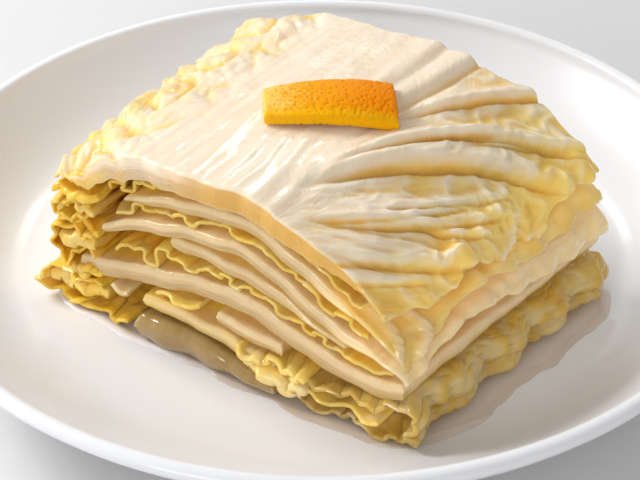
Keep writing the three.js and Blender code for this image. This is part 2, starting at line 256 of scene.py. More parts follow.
# ------------------------------------------------------------------ form of the block
@dataclass(frozen=True)
class BlockAxes:
    """Where the block stands on the plate.

    Attributes:
        corner: Left end of the cut face, in the frame's x and y.
        turn: Direction of the cut face, in radians.
        back_pull: How far the rounded back right corner is drawn in.
        back_sides: Where along the cut face that begins and where it is full.
        back_start: How far behind the cut face it begins.
        front_pull: How far the rounded front left corner is drawn in.
        front_reach: How far that reaches along the cut face and behind it.
        front_heights: Where above the foot it begins and where it is full.
    """

    corner: Pair = (-44.4, -10.7)
    turn: float = math.radians(-34)
    back_pull: float = 3.0
    back_sides: Pair = (54, 70)
    back_start: float = 14
    front_pull: float = 2.6
    front_reach: Pair = (14, 7)
    front_heights: Pair = (2, 8)

    def place(self, points: Grid) -> Grid:
        """Turns points on the block's axes into the frame's millimetres.

        Args:
            points: Rows of s, t and z.

        Returns:
            Rows of x, y and z.
        """
        s, t, z = points.reshape(-1, 3).T
        front = fall_between(s, 0, self.front_reach[0]) * fall_between(t, 0, self.front_reach[1])
        back = step_between(s, *self.back_sides) * step_between(t, self.back_start, LEAF_LENGTH)
        s = s + self.front_pull * front * step_between(z, *self.front_heights)
        t = t - self.back_pull * back
        c, n = math.cos(self.turn), math.sin(self.turn)
        x, y = self.corner[0] + s * c - t * n, self.corner[1] + s * n + t * c
        return np.stack([x, y, z + FLOOR_HEIGHT], axis=1)


BLOCK = BlockAxes()


def right_margin(t: Grid) -> Grid:
    """Where the block's right side stands at t."""
    return CUT_WIDTH + SIDE_FLARE * t


def dome(s: Grid, t: Grid) -> Grid:
    """Height of the block's domed top without its folds.

    Args:
        s: Distance along the cut face.
        t: Distance behind the cut face.

    Returns:
        Height above the plate's floor.
    """
    left = np.clip((CREST[0] - s) / CREST[0], 0, 1)
    hem = right_margin(t) - 2.5
    right = np.clip((s - CREST[1]) / (hem - CREST[1]), 0, 1.1)
    drop = lerp(*RIGHT_DROPS, np.clip(t / LEAF_LENGTH, 0, 1)) * right**RIGHT_BEND
    sag = CORNER_SAG * np.exp(-(((s - SAG_PLACE) / SAG_REACH) ** 2) - (t / SAG_REACH) ** 2)
    return CREST_HEIGHT - LEFT_DROP * left**LEFT_BEND - drop - sag


def lift(s: Grid, t: Grid) -> Grid:
    """How much taller the block is at t than at its cut face."""
    return dome(s, np.maximum(t, 0)) / dome(s, np.zeros_like(s))


def upright_thickness(thickness: Grid, level: Level, s: Grid, t: Grid) -> Grid:
    """Vertical thickness of a sheet that is "thickness" thick square to its slope."""
    return thickness * np.hypot(1, level(s + 0.5, t) - level(s - 0.5, t))


class Layer(ABC):
    """Anything with a lower and an upper face."""

    @abstractmethod
    def under(self, s: Grid, t: Grid) -> Grid:
        """Height of the lower face."""

    @abstractmethod
    def over(self, s: Grid, t: Grid) -> Grid:
        """Height of the upper face."""

    def centre(self, s: Grid, t: Grid) -> Grid:
        """Height of its middle."""
        return (self.under(s, t) + self.over(s, t)) / 2


@dataclass(frozen=True)
class StemLayer(Layer):
    """Both faces of a stem that lies over its support.

    Attributes:
        levels: Mid-height at each station.
        middle: Where along the cut face it is thickest.
        reach: How far from there it thins to the blade.
        thickness: Thickness at the middle.
        margin: Thickness at the sides.
        lift_share: How far it follows the block's rise towards the back.
        support: Height of what it lies on.
        gap: Room that it keeps above the support.
    """

    levels: tuple[float, ...]
    middle: float
    reach: float
    thickness: float
    margin: float
    lift_share: float
    support: Level
    gap: float

    def level(self, s: Grid, t: Grid) -> Grid:
        """Mid-height that it keeps where nothing pushes it up."""
        curve = through_stations(self.levels)
        return curve(s) * lerp(1.0, lift(s, t), self.lift_share)

    def across(self, s: Grid) -> Grid:
        """Thickness at the cut face, square to the stem."""
        x = np.clip((s - self.middle) / self.reach, -1, 1)
        return lerp(self.margin, self.thickness, 1 - x**4)

    def depth(self, s: Grid, t: Grid) -> Grid:
        """Vertical thickness."""
        tip = 1 - 0.35 * np.clip(t / LEAF_LENGTH, 0, 1)
        return upright_thickness(self.across(s) * tip, self.level, s, t)

    def under(self, s: Grid, t: Grid) -> Grid:
        """Height of the lower face."""
        free = self.level(s, t) - self.depth(s, t) / 2
        return soft_max(free, self.support(s, t) + self.gap)

    def over(self, s: Grid, t: Grid) -> Grid:
        """Height of the upper face."""
        return self.under(s, t) + self.depth(s, t)


@dataclass(frozen=True)
class FootLayer(Layer):
    """Both faces of the stem that lies on the plate.

    Attributes:
        bottom: Height of its lower face.
        heights: How high it stands over the gap under it, on the left and on the right.
        slope: Where along the cut face it gets lower.
    """

    bottom: float = 0.25
    heights: Pair = (4.6, 2.0)
    slope: Pair = (28, 47)

    def under(self, s: Grid, t: Grid) -> Grid:
        """Height of the lower face."""
        return self.bottom + 0 * (s + t)

    def over(self, s: Grid, t: Grid) -> Grid:
        """Height of the upper face."""
        return CLEARANCE + lerp(*self.heights, step_between(s, *self.slope)) + 0 * t


def floor_level(s: Grid, t: Grid) -> Grid:
    """The plate's floor under the leaves."""
    return np.full(np.broadcast(s, t).shape, CLEARANCE)


LOW_STEM = StemLayer(
    (5, 6.2, 7.1, 6.9, 5.2, 3.6, 3, 3), 32, 17, 2.4, 1.3, 0, floor_level, CLEARANCE
)
TONGUE_STEM = StemLayer(
    (6, 7, 8, 8.9, 8.5, 7.4, 5, 5), 39, 12, 2.2, 1.8, 0, LOW_STEM.over, CLEARANCE
)
LONG_STEM = StemLayer(
    (8.6, 8.8, 10.9, 12.8, 13.3, 10.3, 8.2, 9.7), 36, 34, 3.3, 2.6, 0.1, floor_level, CLEARANCE
)
INNER_LOW = StemLayer(
    (12.4, 13.8, 17.6, 19.2, 17.8, 14.5, 12.2, 12.7), 36, 15, 2.3, 0.8, 0.4,
    LONG_STEM.over, FRILL_SLOT,
)
INNER_HIGH = StemLayer(
    (13.6, 15.0, 19.9, 22.0, 22.9, 18.2, 14.2, 14.0), 38, 27, 2.2, 0.9, 0.6,
    INNER_LOW.over, CLEARANCE,
)
UPPER_STEM = StemLayer(
    (17.6, 20.4, 23.9, 25.1, 26.5, 23.0, 17.4, 16.2), 41, 22, 2.2, 0.9, 0.7,
    INNER_HIGH.over, FRILL_SLOT,
)


# ------------------------------------------------------------------ sheet meshes
GRAIN_STEP = 37.0  # distance in the grain between two pieces whose seeds follow each other
CROWDING = 1.55  # how much each step at a sheet's edge is longer than the last


@dataclass
class Sheet:
    """A thin wavy solid between an upper and a lower face with the same grid.

    Attributes:
        upper: Upper face, rows by columns by 3, on the block's axes.
        lower: Lower face, the same shape.
        marks: Surface values by name, each rows by columns, for the finish.
        corner: Radius of its rounded edges.
        wall_strips: How many strips close its sides.
        bulge: How far the sides stand out between the rounded edges.
        seed: Number that sets its grain apart from that of its neighbours, which are
            GRAIN_STEP apart.
    """

    upper: Grid
    lower: Grid
    marks: dict[str, Grid]
    corner: float
    wall_strips: int
    bulge: float
    seed: int = 0

    @staticmethod
    def _border(grid: Grid) -> Grid:
        """The values along the grid's edge, once round."""
        return np.concatenate([grid[0, :-1], grid[:-1, -1], grid[-1, :0:-1], grid[:0:-1, 0]])

    def _distances(self) -> tuple[Grid, Grid]:
        """Distances over the sheet from its left side and from its cut end.

        Returns:
            Distance across, and distance along.
        """
        middle = (self.upper + self.lower) / 2
        found = []
        for axis in (1, 0):
            steps = np.linalg.norm(np.diff(middle, axis=axis), axis=2).cumsum(axis=axis)
            found.append(np.concatenate([0 * steps.take([0], axis), steps], axis=axis))
        return found[0], found[1]

    def rounded(self) -> tuple[Grid, Grid]:
        """Draws both faces together at the edges by the corner radius.

        Returns:
            Upper and lower face.
        """
        middle = (self.upper + self.lower) / 2
        reach = (self.upper - self.lower) / 2
        half = np.linalg.norm(reach, axis=2)
        own = half.copy()
        across, along = self._distances()
        for distance in (
            np.minimum(across, across[:, -1:] - across),
            np.minimum(along, along[-1:] - along),
        ):
            radius = np.minimum(self.corner, 0.98 * half)
            inset = np.clip(radius - distance, 0, radius)
            round_half = half - radius + np.sqrt(np.maximum(radius**2 - inset**2, 0))
            half = np.minimum(half, round_half)
        share = (half / own)[..., None]
        return middle + reach * share, middle - reach * share

    def mesh(self) -> tuple[Grid, Grid, dict[str, Grid]]:
        """Closes the sheet.

        Returns:
            Points on the block's axes, quads, and the marks at each point.
        """
        upper, lower = self.rounded()
        rows, columns = upper.shape[:2]
        count = rows * columns
        number = np.arange(count).reshape(rows, columns)
        a, b, c, d = number[:-1, :-1], number[:-1, 1:], number[1:, 1:], number[1:, :-1]
        top = np.stack([a, b, c, d], axis=-1).reshape(-1, 4)
        bottom = np.stack([a, d, c, b], axis=-1).reshape(-1, 4) + count
        ring = self._border(number)
        shares = [k / self.wall_strips for k in range(1, self.wall_strips)]
        between = [2 * count + k * len(ring) + np.arange(len(ring)) for k in range(len(shares))]
        rings = [ring, *between, ring + count]
        walls = [
            np.stack([np.roll(p, -1), p, q, np.roll(q, -1)], axis=1)
            for p, q in zip(rings[:-1], rings[1:])
        ]
        high, low = upper.reshape(-1, 3)[ring], lower.reshape(-1, 3)[ring]
        out = self._outwards(upper, lower, number)
        points = [upper.reshape(-1, 3), lower.reshape(-1, 3)]
        points += [lerp(high, low, f) + out * (self.bulge * math.sin(math.pi * f)) for f in shares]
        marks = self._all_marks(ring, shares)
        return np.concatenate(points), np.concatenate([top, bottom, *walls]), marks

    def _outwards(self, upper: Grid, lower: Grid, number: Grid) -> Grid:
        """Directions out of the sheet at the points of its edge.

        Args:
            upper: Upper face.
            lower: Lower face.
            number: Numbers of its points.

        Returns:
            A unit vector for each point of the edge.
        """
        middle = ((upper + lower) / 2).reshape(-1, 3)
        inner = np.pad(number[1:-1, 1:-1], 1, mode="edge")
        out = middle[self._border(number)] - middle[self._border(inner)]
        return out / np.maximum(np.linalg.norm(out, axis=1, keepdims=True), 1e-6)

    def _all_marks(self, ring: Grid, shares: list[float]) -> dict[str, Grid]:
        """Carries the marks over both faces and the walls.

        Args:
            ring: Numbers of the points round the edge of a face.
            shares: How far down the wall each strip's ring lies.

        Returns:
            The marks at each point, with the grain as one vector.
        """
        size = self.upper.shape[:2]
        across, along = self._distances()
        face = {
            "side": np.linalg.norm(self.upper - self.lower, axis=2) / 2,
            "rim": 1.0,
            "across": across,
            "along": along,
            **self.marks,
        }
        marks = {}
        for key, value in face.items():
            flat = np.broadcast_to(value, size).reshape(-1)
            turned = key in ("side", "rim")
            walls = [flat[ring] * (1 - 2 * f if turned else 1) for f in shares]
            marks[key] = np.concatenate([flat, -flat if turned else flat, *walls])
        marks["across"] += GRAIN_STEP * self.seed
        marks["grain"] = np.stack([marks.pop(key) for key in ("across", "along", "side")], axis=1)
        return marks


def edge_rows(length: float, inner: int, first: float = 0.08, rows: int = 5) -> Grid:
    """Distances from 0 to length that crowd at both ends.

    Args:
        length: Whole distance.
        inner: How many even steps lie between the crowded ends.
        first: First step at an end.
        rows: How many growing steps there are at each end.

    Returns:
        Increasing distances.
    """
    grown = np.concatenate([[0], np.cumsum(first * CROWDING ** np.arange(rows))])
    middle = np.linspace(grown[-1], length - grown[-1], inner + 1)
    return np.concatenate([grown[:-1], middle, (length - grown[:-1])[::-1]])


def section_normals(middle: Grid) -> Grid:
    """Normals of a grid of points, upwards where s grows with columns.

    Args:
        middle: Rows by columns by 3.

    Returns:
        A unit vector for each point.
    """
    across = np.gradient(middle, axis=1)
    along = np.gradient(middle, axis=0)
    normal = np.cross(across, along)
    return normal / np.maximum(np.linalg.norm(normal, axis=2, keepdims=True), 1e-9)


def both_faces(middle: Grid, thickness: Union[Grid, float]) -> tuple[Grid, Grid]:
    """Upper and lower face of a sheet of that thickness, square to its middle."""
    reach = section_normals(middle) * (np.asarray(thickness)[..., None] / 2)
    return middle + reach, middle - reach


LOOSE = 1.1  # length of a hanging hem for each millimetre that it spans


def laid_out(
    start: Grid, bend: Grid, u: Grid, length: Grid, steps: int
) -> tuple[Grid, Grid, Grid]:
    """Lays a sheet out flat from its left end over its bend to its hem.

    Args:
        start: Left end of each row.
        bend: Where each row bends down.
        u: Shares of the way to the bend.
        length: Length of the part that hangs, in each row.
        steps: Columns of that part.

    Returns:
        Distances before the bend, all distances, and shares of the way down.
    """
    main = start + (bend - start) * u[None, :] / u[-1]
    drop = np.linspace(0, 1, steps + 1)[1:]
    return main, np.concatenate([main, bend + drop * length], axis=1), drop


def draped(
    level: Level,
    main: Grid,
    t: Grid,
    hem: tuple[Grid, Grid],
    drop: Grid,
    fall: Union[Grid, float],
) -> tuple[Grid, Grid]:
    """Carries a sheet on past its last column and down to its hem.

    Args:
        level: Height of the sheet before it bends down.
        main: Distances along the cut face before the bend, rows by columns.
        t: Distance behind the cut face for all the columns.
        hem: Where the hem hangs, s and z, rows by 1 each.
        drop: Shares of the way down to the hem, above 0, up to 1.
        fall: Slope of the hem, radians.

    Returns:
        Distance along the cut face and height of every point.
    """
    count = main.shape[1]
    bend, last = main[:, -1:], t[:, count - 1 : count]
    height = level(main, t[:, :count])
    top = height[:, -1:]
    rise = (level(bend, last) - level(bend - 0.5, last)) / 0.5
    reach = np.hypot(hem[0] - bend, hem[1] - top)
    ahead = reach / np.hypot(1, rise)
    start = (ahead, rise * ahead)
    end = (np.cos(fall) * reach, -np.sin(fall) * reach)
    f = drop[None, :]
    s = hermite(f, bend, start[0], hem[0], end[0])
    z = hermite(f, top, start[1], hem[1], end[1])
    return np.concatenate([main, s], axis=1), np.concatenate([height, z], axis=1)


def hollowness(height: Grid, passes: int, scale: float) -> Grid:
    """How deep each point lies below its surroundings, from 0 to 1."""
    return np.clip((softened(height, passes) - height) / scale, 0, 1)


def placed(name: str, data: Optional[bpy.types.ID]) -> bpy.types.Object:
    """Puts an object with its data into the scene.

    Args:
        name: Its name.
        data: Its mesh, lamp or camera.

    Returns:
        The object.
    """
    made = bpy.data.objects.new(name, data)
    bpy.context.scene.collection.objects.link(made)
    return made


def carried(piece: bpy.types.Object, nodes: Sequence[str]) -> bpy.types.Object:
    """Lets a piece ride on the frame's body.

    Args:
        piece: The piece.
        nodes: CAD nodes that it stands for.

    Returns:
        The piece.
    """
    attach(piece, "root")
    if nodes:
        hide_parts(*nodes)
    log.info("%s: %d faces", piece.name, len(piece.data.polygons))
    return piece


def smooth(mesh: bpy.types.Mesh) -> None:
    """Shades all of a mesh's faces smoothly."""
    mesh.polygons.foreach_set("use_smooth", np.ones(len(mesh.polygons), bool))


def dress(mesh: bpy.types.Mesh, marks: dict[str, Grid], finish: bpy.types.Material) -> None:
    """Gives a mesh its surface values and its material.

    Args:
        mesh: The mesh.
        marks: Surface values by name, one or three numbers a point.
        finish: Its material.
    """
    smooth(mesh)
    for key, value in marks.items():
        kind, target = ("FLOAT_VECTOR", "vector") if value.ndim == 2 else ("FLOAT", "value")
        layer = mesh.attributes.new(key, kind, "POINT")
        layer.data.foreach_set(target, value.astype(np.float32).ravel())
    mesh.materials.append(finish)


def sheet_object(name: str, sheet: Sheet, finish: bpy.types.Material) -> bpy.types.Object:
    """Makes the object of a sheet.

    Args:
        name: Name of the object.
        sheet: The sheet, on the block's axes.
        finish: Its material.

    Returns:
        The new object.
    """
    points, quads, marks = sheet.mesh()
    mesh = bpy.data.meshes.new(name)
    mesh.vertices.add(len(points))
    mesh.vertices.foreach_set("co", (BLOCK.place(points) * MM).astype(np.float32).ravel())
    mesh.loops.add(quads.size)
    mesh.loops.foreach_set("vertex_index", quads.astype(np.int32).ravel())
    mesh.polygons.add(len(quads))
    mesh.polygons.foreach_set("loop_start", np.arange(0, quads.size, 4, dtype=np.int32))
    mesh.update(calc_edges=True)
    dress(mesh, marks, finish)
    return placed(name, mesh)


class Leaf(ABC):
    """A leaf, stem or frill that is made of one sheet.

    Attributes:
        name: Name of the piece, and of the CAD node that it stands for if there is one.
        slot: Material slot of the record.
    """

    name: str
    slot: Slot

    @abstractmethod
    def sheet(self) -> Sheet:
        """Shapes it.

        Returns:
            Its faces, with the marks for its finish.
        """

    def build(self, finish: bpy.types.Material) -> bpy.types.Object:
        """Builds the piece.

        Args:
            finish: Its material.

        Returns:
            The piece.
        """
        nodes = [self.name] if self.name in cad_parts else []
        return carried(sheet_object(self.name, self.sheet(), finish), nodes)


# ------------------------------------------------------------------ shader trees
def light(red: int, green: int, blue: int) -> Colour:
    """Turns a colour of a paint chart into light.

    Args:
        red: From 0 to 255.
        green: The same.
        blue: The same.

    Returns:
        The colour in linear light.
    """

    def channel(value: int) -> float:
        """One linear channel."""
        x = value / 255
        return x / 12.92 if x <= 0.04045 else ((x + 0.055) / 1.055) ** 2.4

    return channel(red), channel(green), channel(blue)


Value = Union["Tap", float]


@dataclass(frozen=True)
class Tap:
    """A number socket that can be used in sums.

    Attributes:
        tree: Tree that it belongs to.
        socket: The output socket, None for a node at the tree's end.
    """

    tree: "NodeKit"
    socket: Optional[bpy.types.NodeSocket]

    def __add__(self, other: Value) -> "Tap":
        """Sum."""
        return self.tree.maths("ADD", self, other)

    def __radd__(self, other: Value) -> "Tap":
        """Sum with a number first."""
        return self.tree.maths("ADD", other, self)

    def __sub__(self, other: Value) -> "Tap":
        """Difference."""
        return self.tree.maths("SUBTRACT", self, other)

    def __rsub__(self, other: Value) -> "Tap":
        """Difference with a number first."""
        return self.tree.maths("SUBTRACT", other, self)

    def __mul__(self, other: Value) -> "Tap":
        """Product."""
        return self.tree.maths("MULTIPLY", self, other)

    def __rmul__(self, other: Value) -> "Tap":
        """Product with a number first."""
        return self.tree.maths("MULTIPLY", other, self)

    def between(self, low: float, high: float) -> "Tap":
        """Smooth rise from 0 at low to 1 at high.

        Args:
            low: Where it begins.
            high: Where it ends.

        Returns:
            The rise.
        """
        return self.tree.node(
            "ShaderNodeMapRange",
            {"interpolation_type": "SMOOTHSTEP", "clamp": True},
            {"Value": self, "From Min": low, "From Max": high},
            "Result",
        )


class NodeKit:
    """A tree to which nodes are added."""

    def __init__(self, tree: bpy.types.NodeTree) -> None:
        """Starts with a tree.

        Args:
            tree: The tree.
        """
        self.nodes, self.links = tree.nodes, tree.links

    def node(
        self,
        kind: str,
        settings: Optional[dict[str, object]] = None,
        inputs: Optional[dict[Union[str, int], object]] = None,
        output: Union[str, int] = 0,
    ) -> Tap:
        """Adds a node.

        Args:
            kind: Type of the node.
            settings: Its own properties, set first.
            inputs: Values or links of its sockets.
            output: Which output is wanted.

        Returns:
            The output socket.
        """
        made = self.nodes.new(kind)
        for key, value in (settings or {}).items():
            setattr(made, key, value)
        for key, value in (inputs or {}).items():
            socket = made.inputs[key]
            if isinstance(value, Tap):
                self.links.new(value.socket, socket)
            elif isinstance(value, tuple) and socket.type == "RGBA":
                socket.default_value = (*value, 1)
            else:
                socket.default_value = value
        return Tap(self, made.outputs[output] if made.outputs else None)

    def maths(self, operation: str, a: Value, b: Value = 0.0) -> Tap:
        """A Math node on two values."""
        return self.node("ShaderNodeMath", {"operation": operation}, {0: a, 1: b})


class FinishTree(NodeKit):
    """Node tree of one finish."""

    def __init__(self, name: str) -> None:
        """Starts a material.

        Args:
            name: Name of the finish.
        """
        self.material = bpy.data.materials.new(name)
        self.material.use_nodes = True
        super().__init__(self.material.node_tree)
        self.nodes.clear()

    def mark(self, name: str, output: str = "Fac") -> Tap:
        """A surface value of the piece, or a surface vector."""
        return self.node("ShaderNodeAttribute", {"attribute_name": name}, output=output)

    def blend(self, a: Union[Tap, Colour], b: Union[Tap, Colour], share: Value) -> Tap:
        """Mixes two colours."""
        return self.node("ShaderNodeMix", {"data_type": "RGBA"}, {0: share, 6: a, 7: b}, 2)

    def noise(self, vector: Tap, scale: Triple, detail: float = 2.0) -> Tap:
        """Stretched noise.

        Args:
            vector: Where it is read.
            scale: Repeats on each axis.
            detail: Octaves.

        Returns:
            Noise from 0 to 1.
        """
        stretched = self.node(
            "ShaderNodeVectorMath", {"operation": "MULTIPLY"}, {0: vector, 1: scale}
        )
        sockets = {"Vector": stretched, "Scale": 1.0, "Detail": detail}
        return self.node("ShaderNodeTexNoise", {"noise_dimensions": "3D"}, sockets, "Fac")

    def bump(self, height: Tap, distance: float) -> Tap:
        """A Bump node for a height of 0 to 1 times the distance in metres."""
        return self.node("ShaderNodeBump", {}, {"Height": height, "Distance": distance}, "Normal")

    def surface(self, inputs: dict[Union[str, int], object]) -> bpy.types.Material:
        """Ends the tree in a Principled shader.

        Args:
            inputs: Values or links of the shader's sockets.

        Returns:
            The material.
        """
        shader = self.node("ShaderNodeBsdfPrincipled", {}, inputs)
        self.node("ShaderNodeOutputMaterial", inputs={"Surface": shader})
        return self.material


class ShapeTree(NodeKit):
    """Geometry Nodes tree that makes or changes a piece's mesh."""

    def __init__(self, name: str, inputs: dict[str, str]) -> None:
        """Starts the tree.

        Args:
            name: Its name.
            inputs: Kind of number, Float or Int, of each named size.
        """
        self.group = bpy.data.node_groups.new(name, "GeometryNodeTree")
        super().__init__(self.group)
        new_socket = self.group.interface.new_socket
        for key, kind in {"Geometry": "Geometry", **inputs}.items():
            new_socket(key, in_out="INPUT", socket_type=f"NodeSocket{kind}")
        new_socket("Geometry", in_out="OUTPUT", socket_type="NodeSocketGeometry")

    def given(self, name: str) -> Tap:
        """One of the tree's inputs."""
        return self.node("NodeGroupInput", output=name)

    def bake(
        self,
        piece: bpy.types.Object,
        shape: Tap,
        finish: bpy.types.Material,
        values: dict[str, float],
    ) -> None:
        """Ends the tree, runs it on a piece and keeps the result as a plain mesh.

        Args:
            piece: The object whose mesh it changes.
            shape: The geometry that it ends in.
            finish: Material of the piece.
            values: The tree's sizes by name.
        """
        real = self.node("GeometryNodeRealizeInstances", inputs={"Geometry": shape})
        dressed = self.node(
            "GeometryNodeSetMaterial", inputs={"Geometry": real, "Material": finish}
        )
        self.node("NodeGroupOutput", inputs={"Geometry": dressed})
        modifier = piece.modifiers.new("shape", "NODES")
        modifier.node_group = self.group
        for item in self.group.interface.items_tree:
            if item.item_type == "SOCKET" and item.name in values:
                modifier[item.identifier] = values[item.name]
        bpy.context.view_layer.update()
        seen = piece.evaluated_get(bpy.context.evaluated_depsgraph_get())
        mesh = bpy.data.meshes.new_from_object(seen)
        piece.modifiers.remove(modifier)
        old, piece.data = piece.data, mesh
        bpy.data.meshes.remove(old)
        smooth(mesh)
        mesh.name = piece.name


# ------------------------------------------------------------------ finishes
# Factors on the red, green and blue of a leaf's own colours. The lower rim's factors paint shade
# at the foot of a cut face, and the lip's factors paint a highlight along the edges of sheets.
DULL_FLESH = (0.98, 0.95, 0.9)
LOW_RIM = (0.75, 0.65, 0.45)
STRONG_BLADE = (0.98, 0.86, 0.56)
PALE_LIP = (1.05, 1.15, 2.0)
# Repeats of a leaf's patterns for each millimetre across, along and through it.
PATCHES = (0.16, 0.13, 0.3)
CLOUDS = (0.42, 0.3, 0.6)
FIBRES = (0.9, 0.07, 0.5)
STRANDS = (0.16, 0.2, 2.4)
RIPPLES = (1.1, 0.9, 1.1)
# How far red, green and blue light spread in flesh, as shares of the depth.
SPREAD = (1.0, 0.92, 0.66)
WATER_INDEX = 1.34
FLESH_INDEX = 1.4
GLAZE_CLOUD, GLAZE_RIPPLE = (60.0,) * 3, (130.0,) * 3  # repeats for each metre
GLAZE_RELIEF = 0.00008  # metres


def tinged(colour: Colour, factors: Triple) -> Colour:
    """A colour with its red, green and blue multiplied."""
    return tuple(min(1.0, c * f) for c, f in zip(colour, factors))


@dataclass(frozen=True)
class LeafFinish:
    """Wet, translucent cabbage.

    Attributes:
        name: Name of the finish.
        flesh: Colour of the thick stem.
        blade: Colour of the thin blade, where the mark "tint" is 1.
        hollow: Colour of the painted shade in creases and recesses, where the mark "hollow" is 1.
        deep: Painted colour of the gaps inside the block, where the mark "deep" is 1, in place of
            the shade there and of the light that comes through the leaves.
        roughness: Mean roughness.
        coat: Share of the wet film.
        glow: Share of light that goes through the flesh.
        fibre: Depth of the fibres' relief, mm.
        agate: How strongly a cut face is painted lighter at its upper rim and darker at its lower
            rim, as painted highlight and painted shade.
        depth: How far light goes into the flesh, mm.
        through: Strength of a painted glow that the leaf emits where the mark "lit" is 1, in place
            of daylight coming through the thin leaf.
    """

    name: str
    flesh: Colour
    blade: Colour
    hollow: Colour
    deep: Colour
    roughness: float
    coat: float
    glow: float
    fibre: float
    agate: float
    depth: float
    through: float

    def make(self) -> bpy.types.Material:
        """Builds the material.

        Returns:
            The material.
        """
        tree = FinishTree(self.name)
        grain = tree.mark("grain", "Vector")
        tint, hollow, deep, lit, rim = map(tree.mark, ("tint", "hollow", "deep", "lit", "rim"))
        patch, cloud = tree.noise(grain, PATCHES), tree.noise(grain, CLOUDS)
        fibres, strands = tree.noise(grain, FIBRES), tree.noise(grain, STRANDS)
        edge = (1 - rim * rim).between(0.0, 0.3)
        cut = (1 - rim).between(0.0, 0.35)
        streaks = fibres + (strands - fibres) * edge

        # the pale flesh colour serves the real fibre streaks and also the painted highlights on
        # the cut faces' upper rims
        pale = tuple(min(1.0, c * 1.04 + 0.01) for c in self.flesh)
        flesh = tree.blend(tinged(self.flesh, DULL_FLESH), pale, streaks.between(0.34, 0.66))
        # painted highlight and shade on a cut face: pale at its upper rim, darker at its lower
        # rim, broken by the real fibre streaks
        level = rim + (streaks - 0.5) * 3.2
        face = tree.blend(tinged(self.flesh, LOW_RIM), pale, level.between(-0.7, 1.3))
        flesh = tree.blend(flesh, face, cut * (1 - lit) * self.agate)
        strong = tinged(self.blade, STRONG_BLADE)
        blade = tree.blend(self.blade, strong, patch.between(0.4, 0.72))
        share = (tint + (cloud - 0.5) * 0.5 * tint.between(0.02, 0.4)).between(0.1, 0.95)
        colour = tree.blend(flesh, blade, share)
        # painted highlight along the sheets' edges, stronger where the lit mark paints a glow
        lip = tinged(self.blade, PALE_LIP)
        colour = tree.blend(colour, lip, edge * (share * (1 - self.agate) + lit))
        # painted shade: a darker, deeper colour laid into creases and recesses
        colour = tree.blend(colour, self.hollow, hollow * 0.85)
        # painted highlight: the upper rim of each cut wall is lightened to the pale flesh colour
        upper_wall = (1 - rim).between(0.0, 0.04) * rim.between(0.0, 0.6) * (1 - hollow)
        colour = tree.blend(colour, pale, upper_wall * (0.8 * self.agate))
        # painted shade and glow: the gaps inside the block take a set amber colour
        colour = tree.blend(colour, self.deep, deep)

        ripple = tree.noise(grain, RIPPLES, 1)
        relief = streaks * 0.6 + ripple * 0.8 + cloud * 0.8
        return tree.surface(
            {
                "Base Color": colour,
                "Roughness": self.roughness + (cloud - 0.5) * 0.24,
                "Normal": tree.bump(relief, self.fibre * MM),
                "Subsurface Weight": self.glow,
                "Subsurface Radius": SPREAD,
                "Subsurface Scale": self.depth * MM,
                "Coat Weight": self.coat,
                "Coat Roughness": 0.05,
                "Coat IOR": FLESH_INDEX,
                "IOR": FLESH_INDEX,
                # painted glow: the leaf emits its own colour where the lit mark is set
                "Emission Color": tree.blend((0.0, 0.0, 0.0), colour, lit),
                "Emission Strength": self.through,
            }
        )


@dataclass(frozen=True)
class GlazeFinish:
    """White glazed porcelain.

    Attributes:
        white: Colour of the body under the glaze.
        roughness: Roughness of the glaze.
    """

    white: Colour = light(243, 244, 247)
    roughness: float = 0.32

    def make(self) -> bpy.types.Material:
        """Builds the material.

        Returns:
            The material.
        """
        tree = FinishTree("plate_glaze")
        place = tree.node("ShaderNodeTexCoord", output="Object")
        cloud, ripple = tree.noise(place, GLAZE_CLOUD), tree.noise(place, GLAZE_RIPPLE, 1)
        return tree.surface(
            {
                "Base Color": tree.blend(self.white, tinged(self.white, (0.975,) * 3), cloud),
                "Roughness": self.roughness + (cloud - 0.5) * 0.06,
                "Normal": tree.bump(ripple, GLAZE_RELIEF),
                "Coat Weight": 0.15,
                "Coat Roughness": 0.08,
            }
        )


@dataclass(frozen=True)
class PeelFinish:
    """Citrus peel with its oil glands.

    Attributes:
        zest: Main colour of the zest.
        ripe: Deeper colour at its right end.
        rind: Colour of the cut side.
        gloss: Colour of a highlight painted over the oil glands of its left end.
        depth: How far light goes into it, mm.
    """

    zest: Colour = light(244, 164, 0)
    ripe: Colour = light(251, 144, 0)
    rind: Colour = light(250, 186, 8)
    gloss: Colour = light(255, 214, 110)
    depth: float = 1.2

    def make(self) -> bpy.types.Material:
        """Builds the material.

        Returns:
            The material.
        """
        tree = FinishTree("citrus_zest")
        grain = tree.mark("grain", "Vector")
        ripe, side = tree.mark("ripeness"), tree.mark("rind")
        cloud, pores = tree.noise(grain, (0.5,) * 3), tree.noise(grain, (1.3,) * 3)
        colour = tree.blend(self.zest, self.ripe, (ripe + cloud * 0.3).between(0.35, 1.1))
        # painted highlight: pale yellow over the oil glands, fading out towards the right end
        shine = (pores * 3.2 - ripe * 3.4).between(0.5, 1.5)
        colour = tree.blend(colour, self.gloss, shine * 0.75)
        colour = tree.blend(colour, self.rind, side)
        return tree.surface(
            {
                "Base Color": colour,
                "Roughness": 0.34 + cloud * 0.12,
                "Specular IOR Level": 0.06,
                "Subsurface Weight": 0.3,
                "Subsurface Radius": (1.0, 0.5, 0.06),
                "Subsurface Scale": self.depth * MM,
                "Coat Weight": 0.03,
                "Coat Roughness": 0.12,
            }
        )


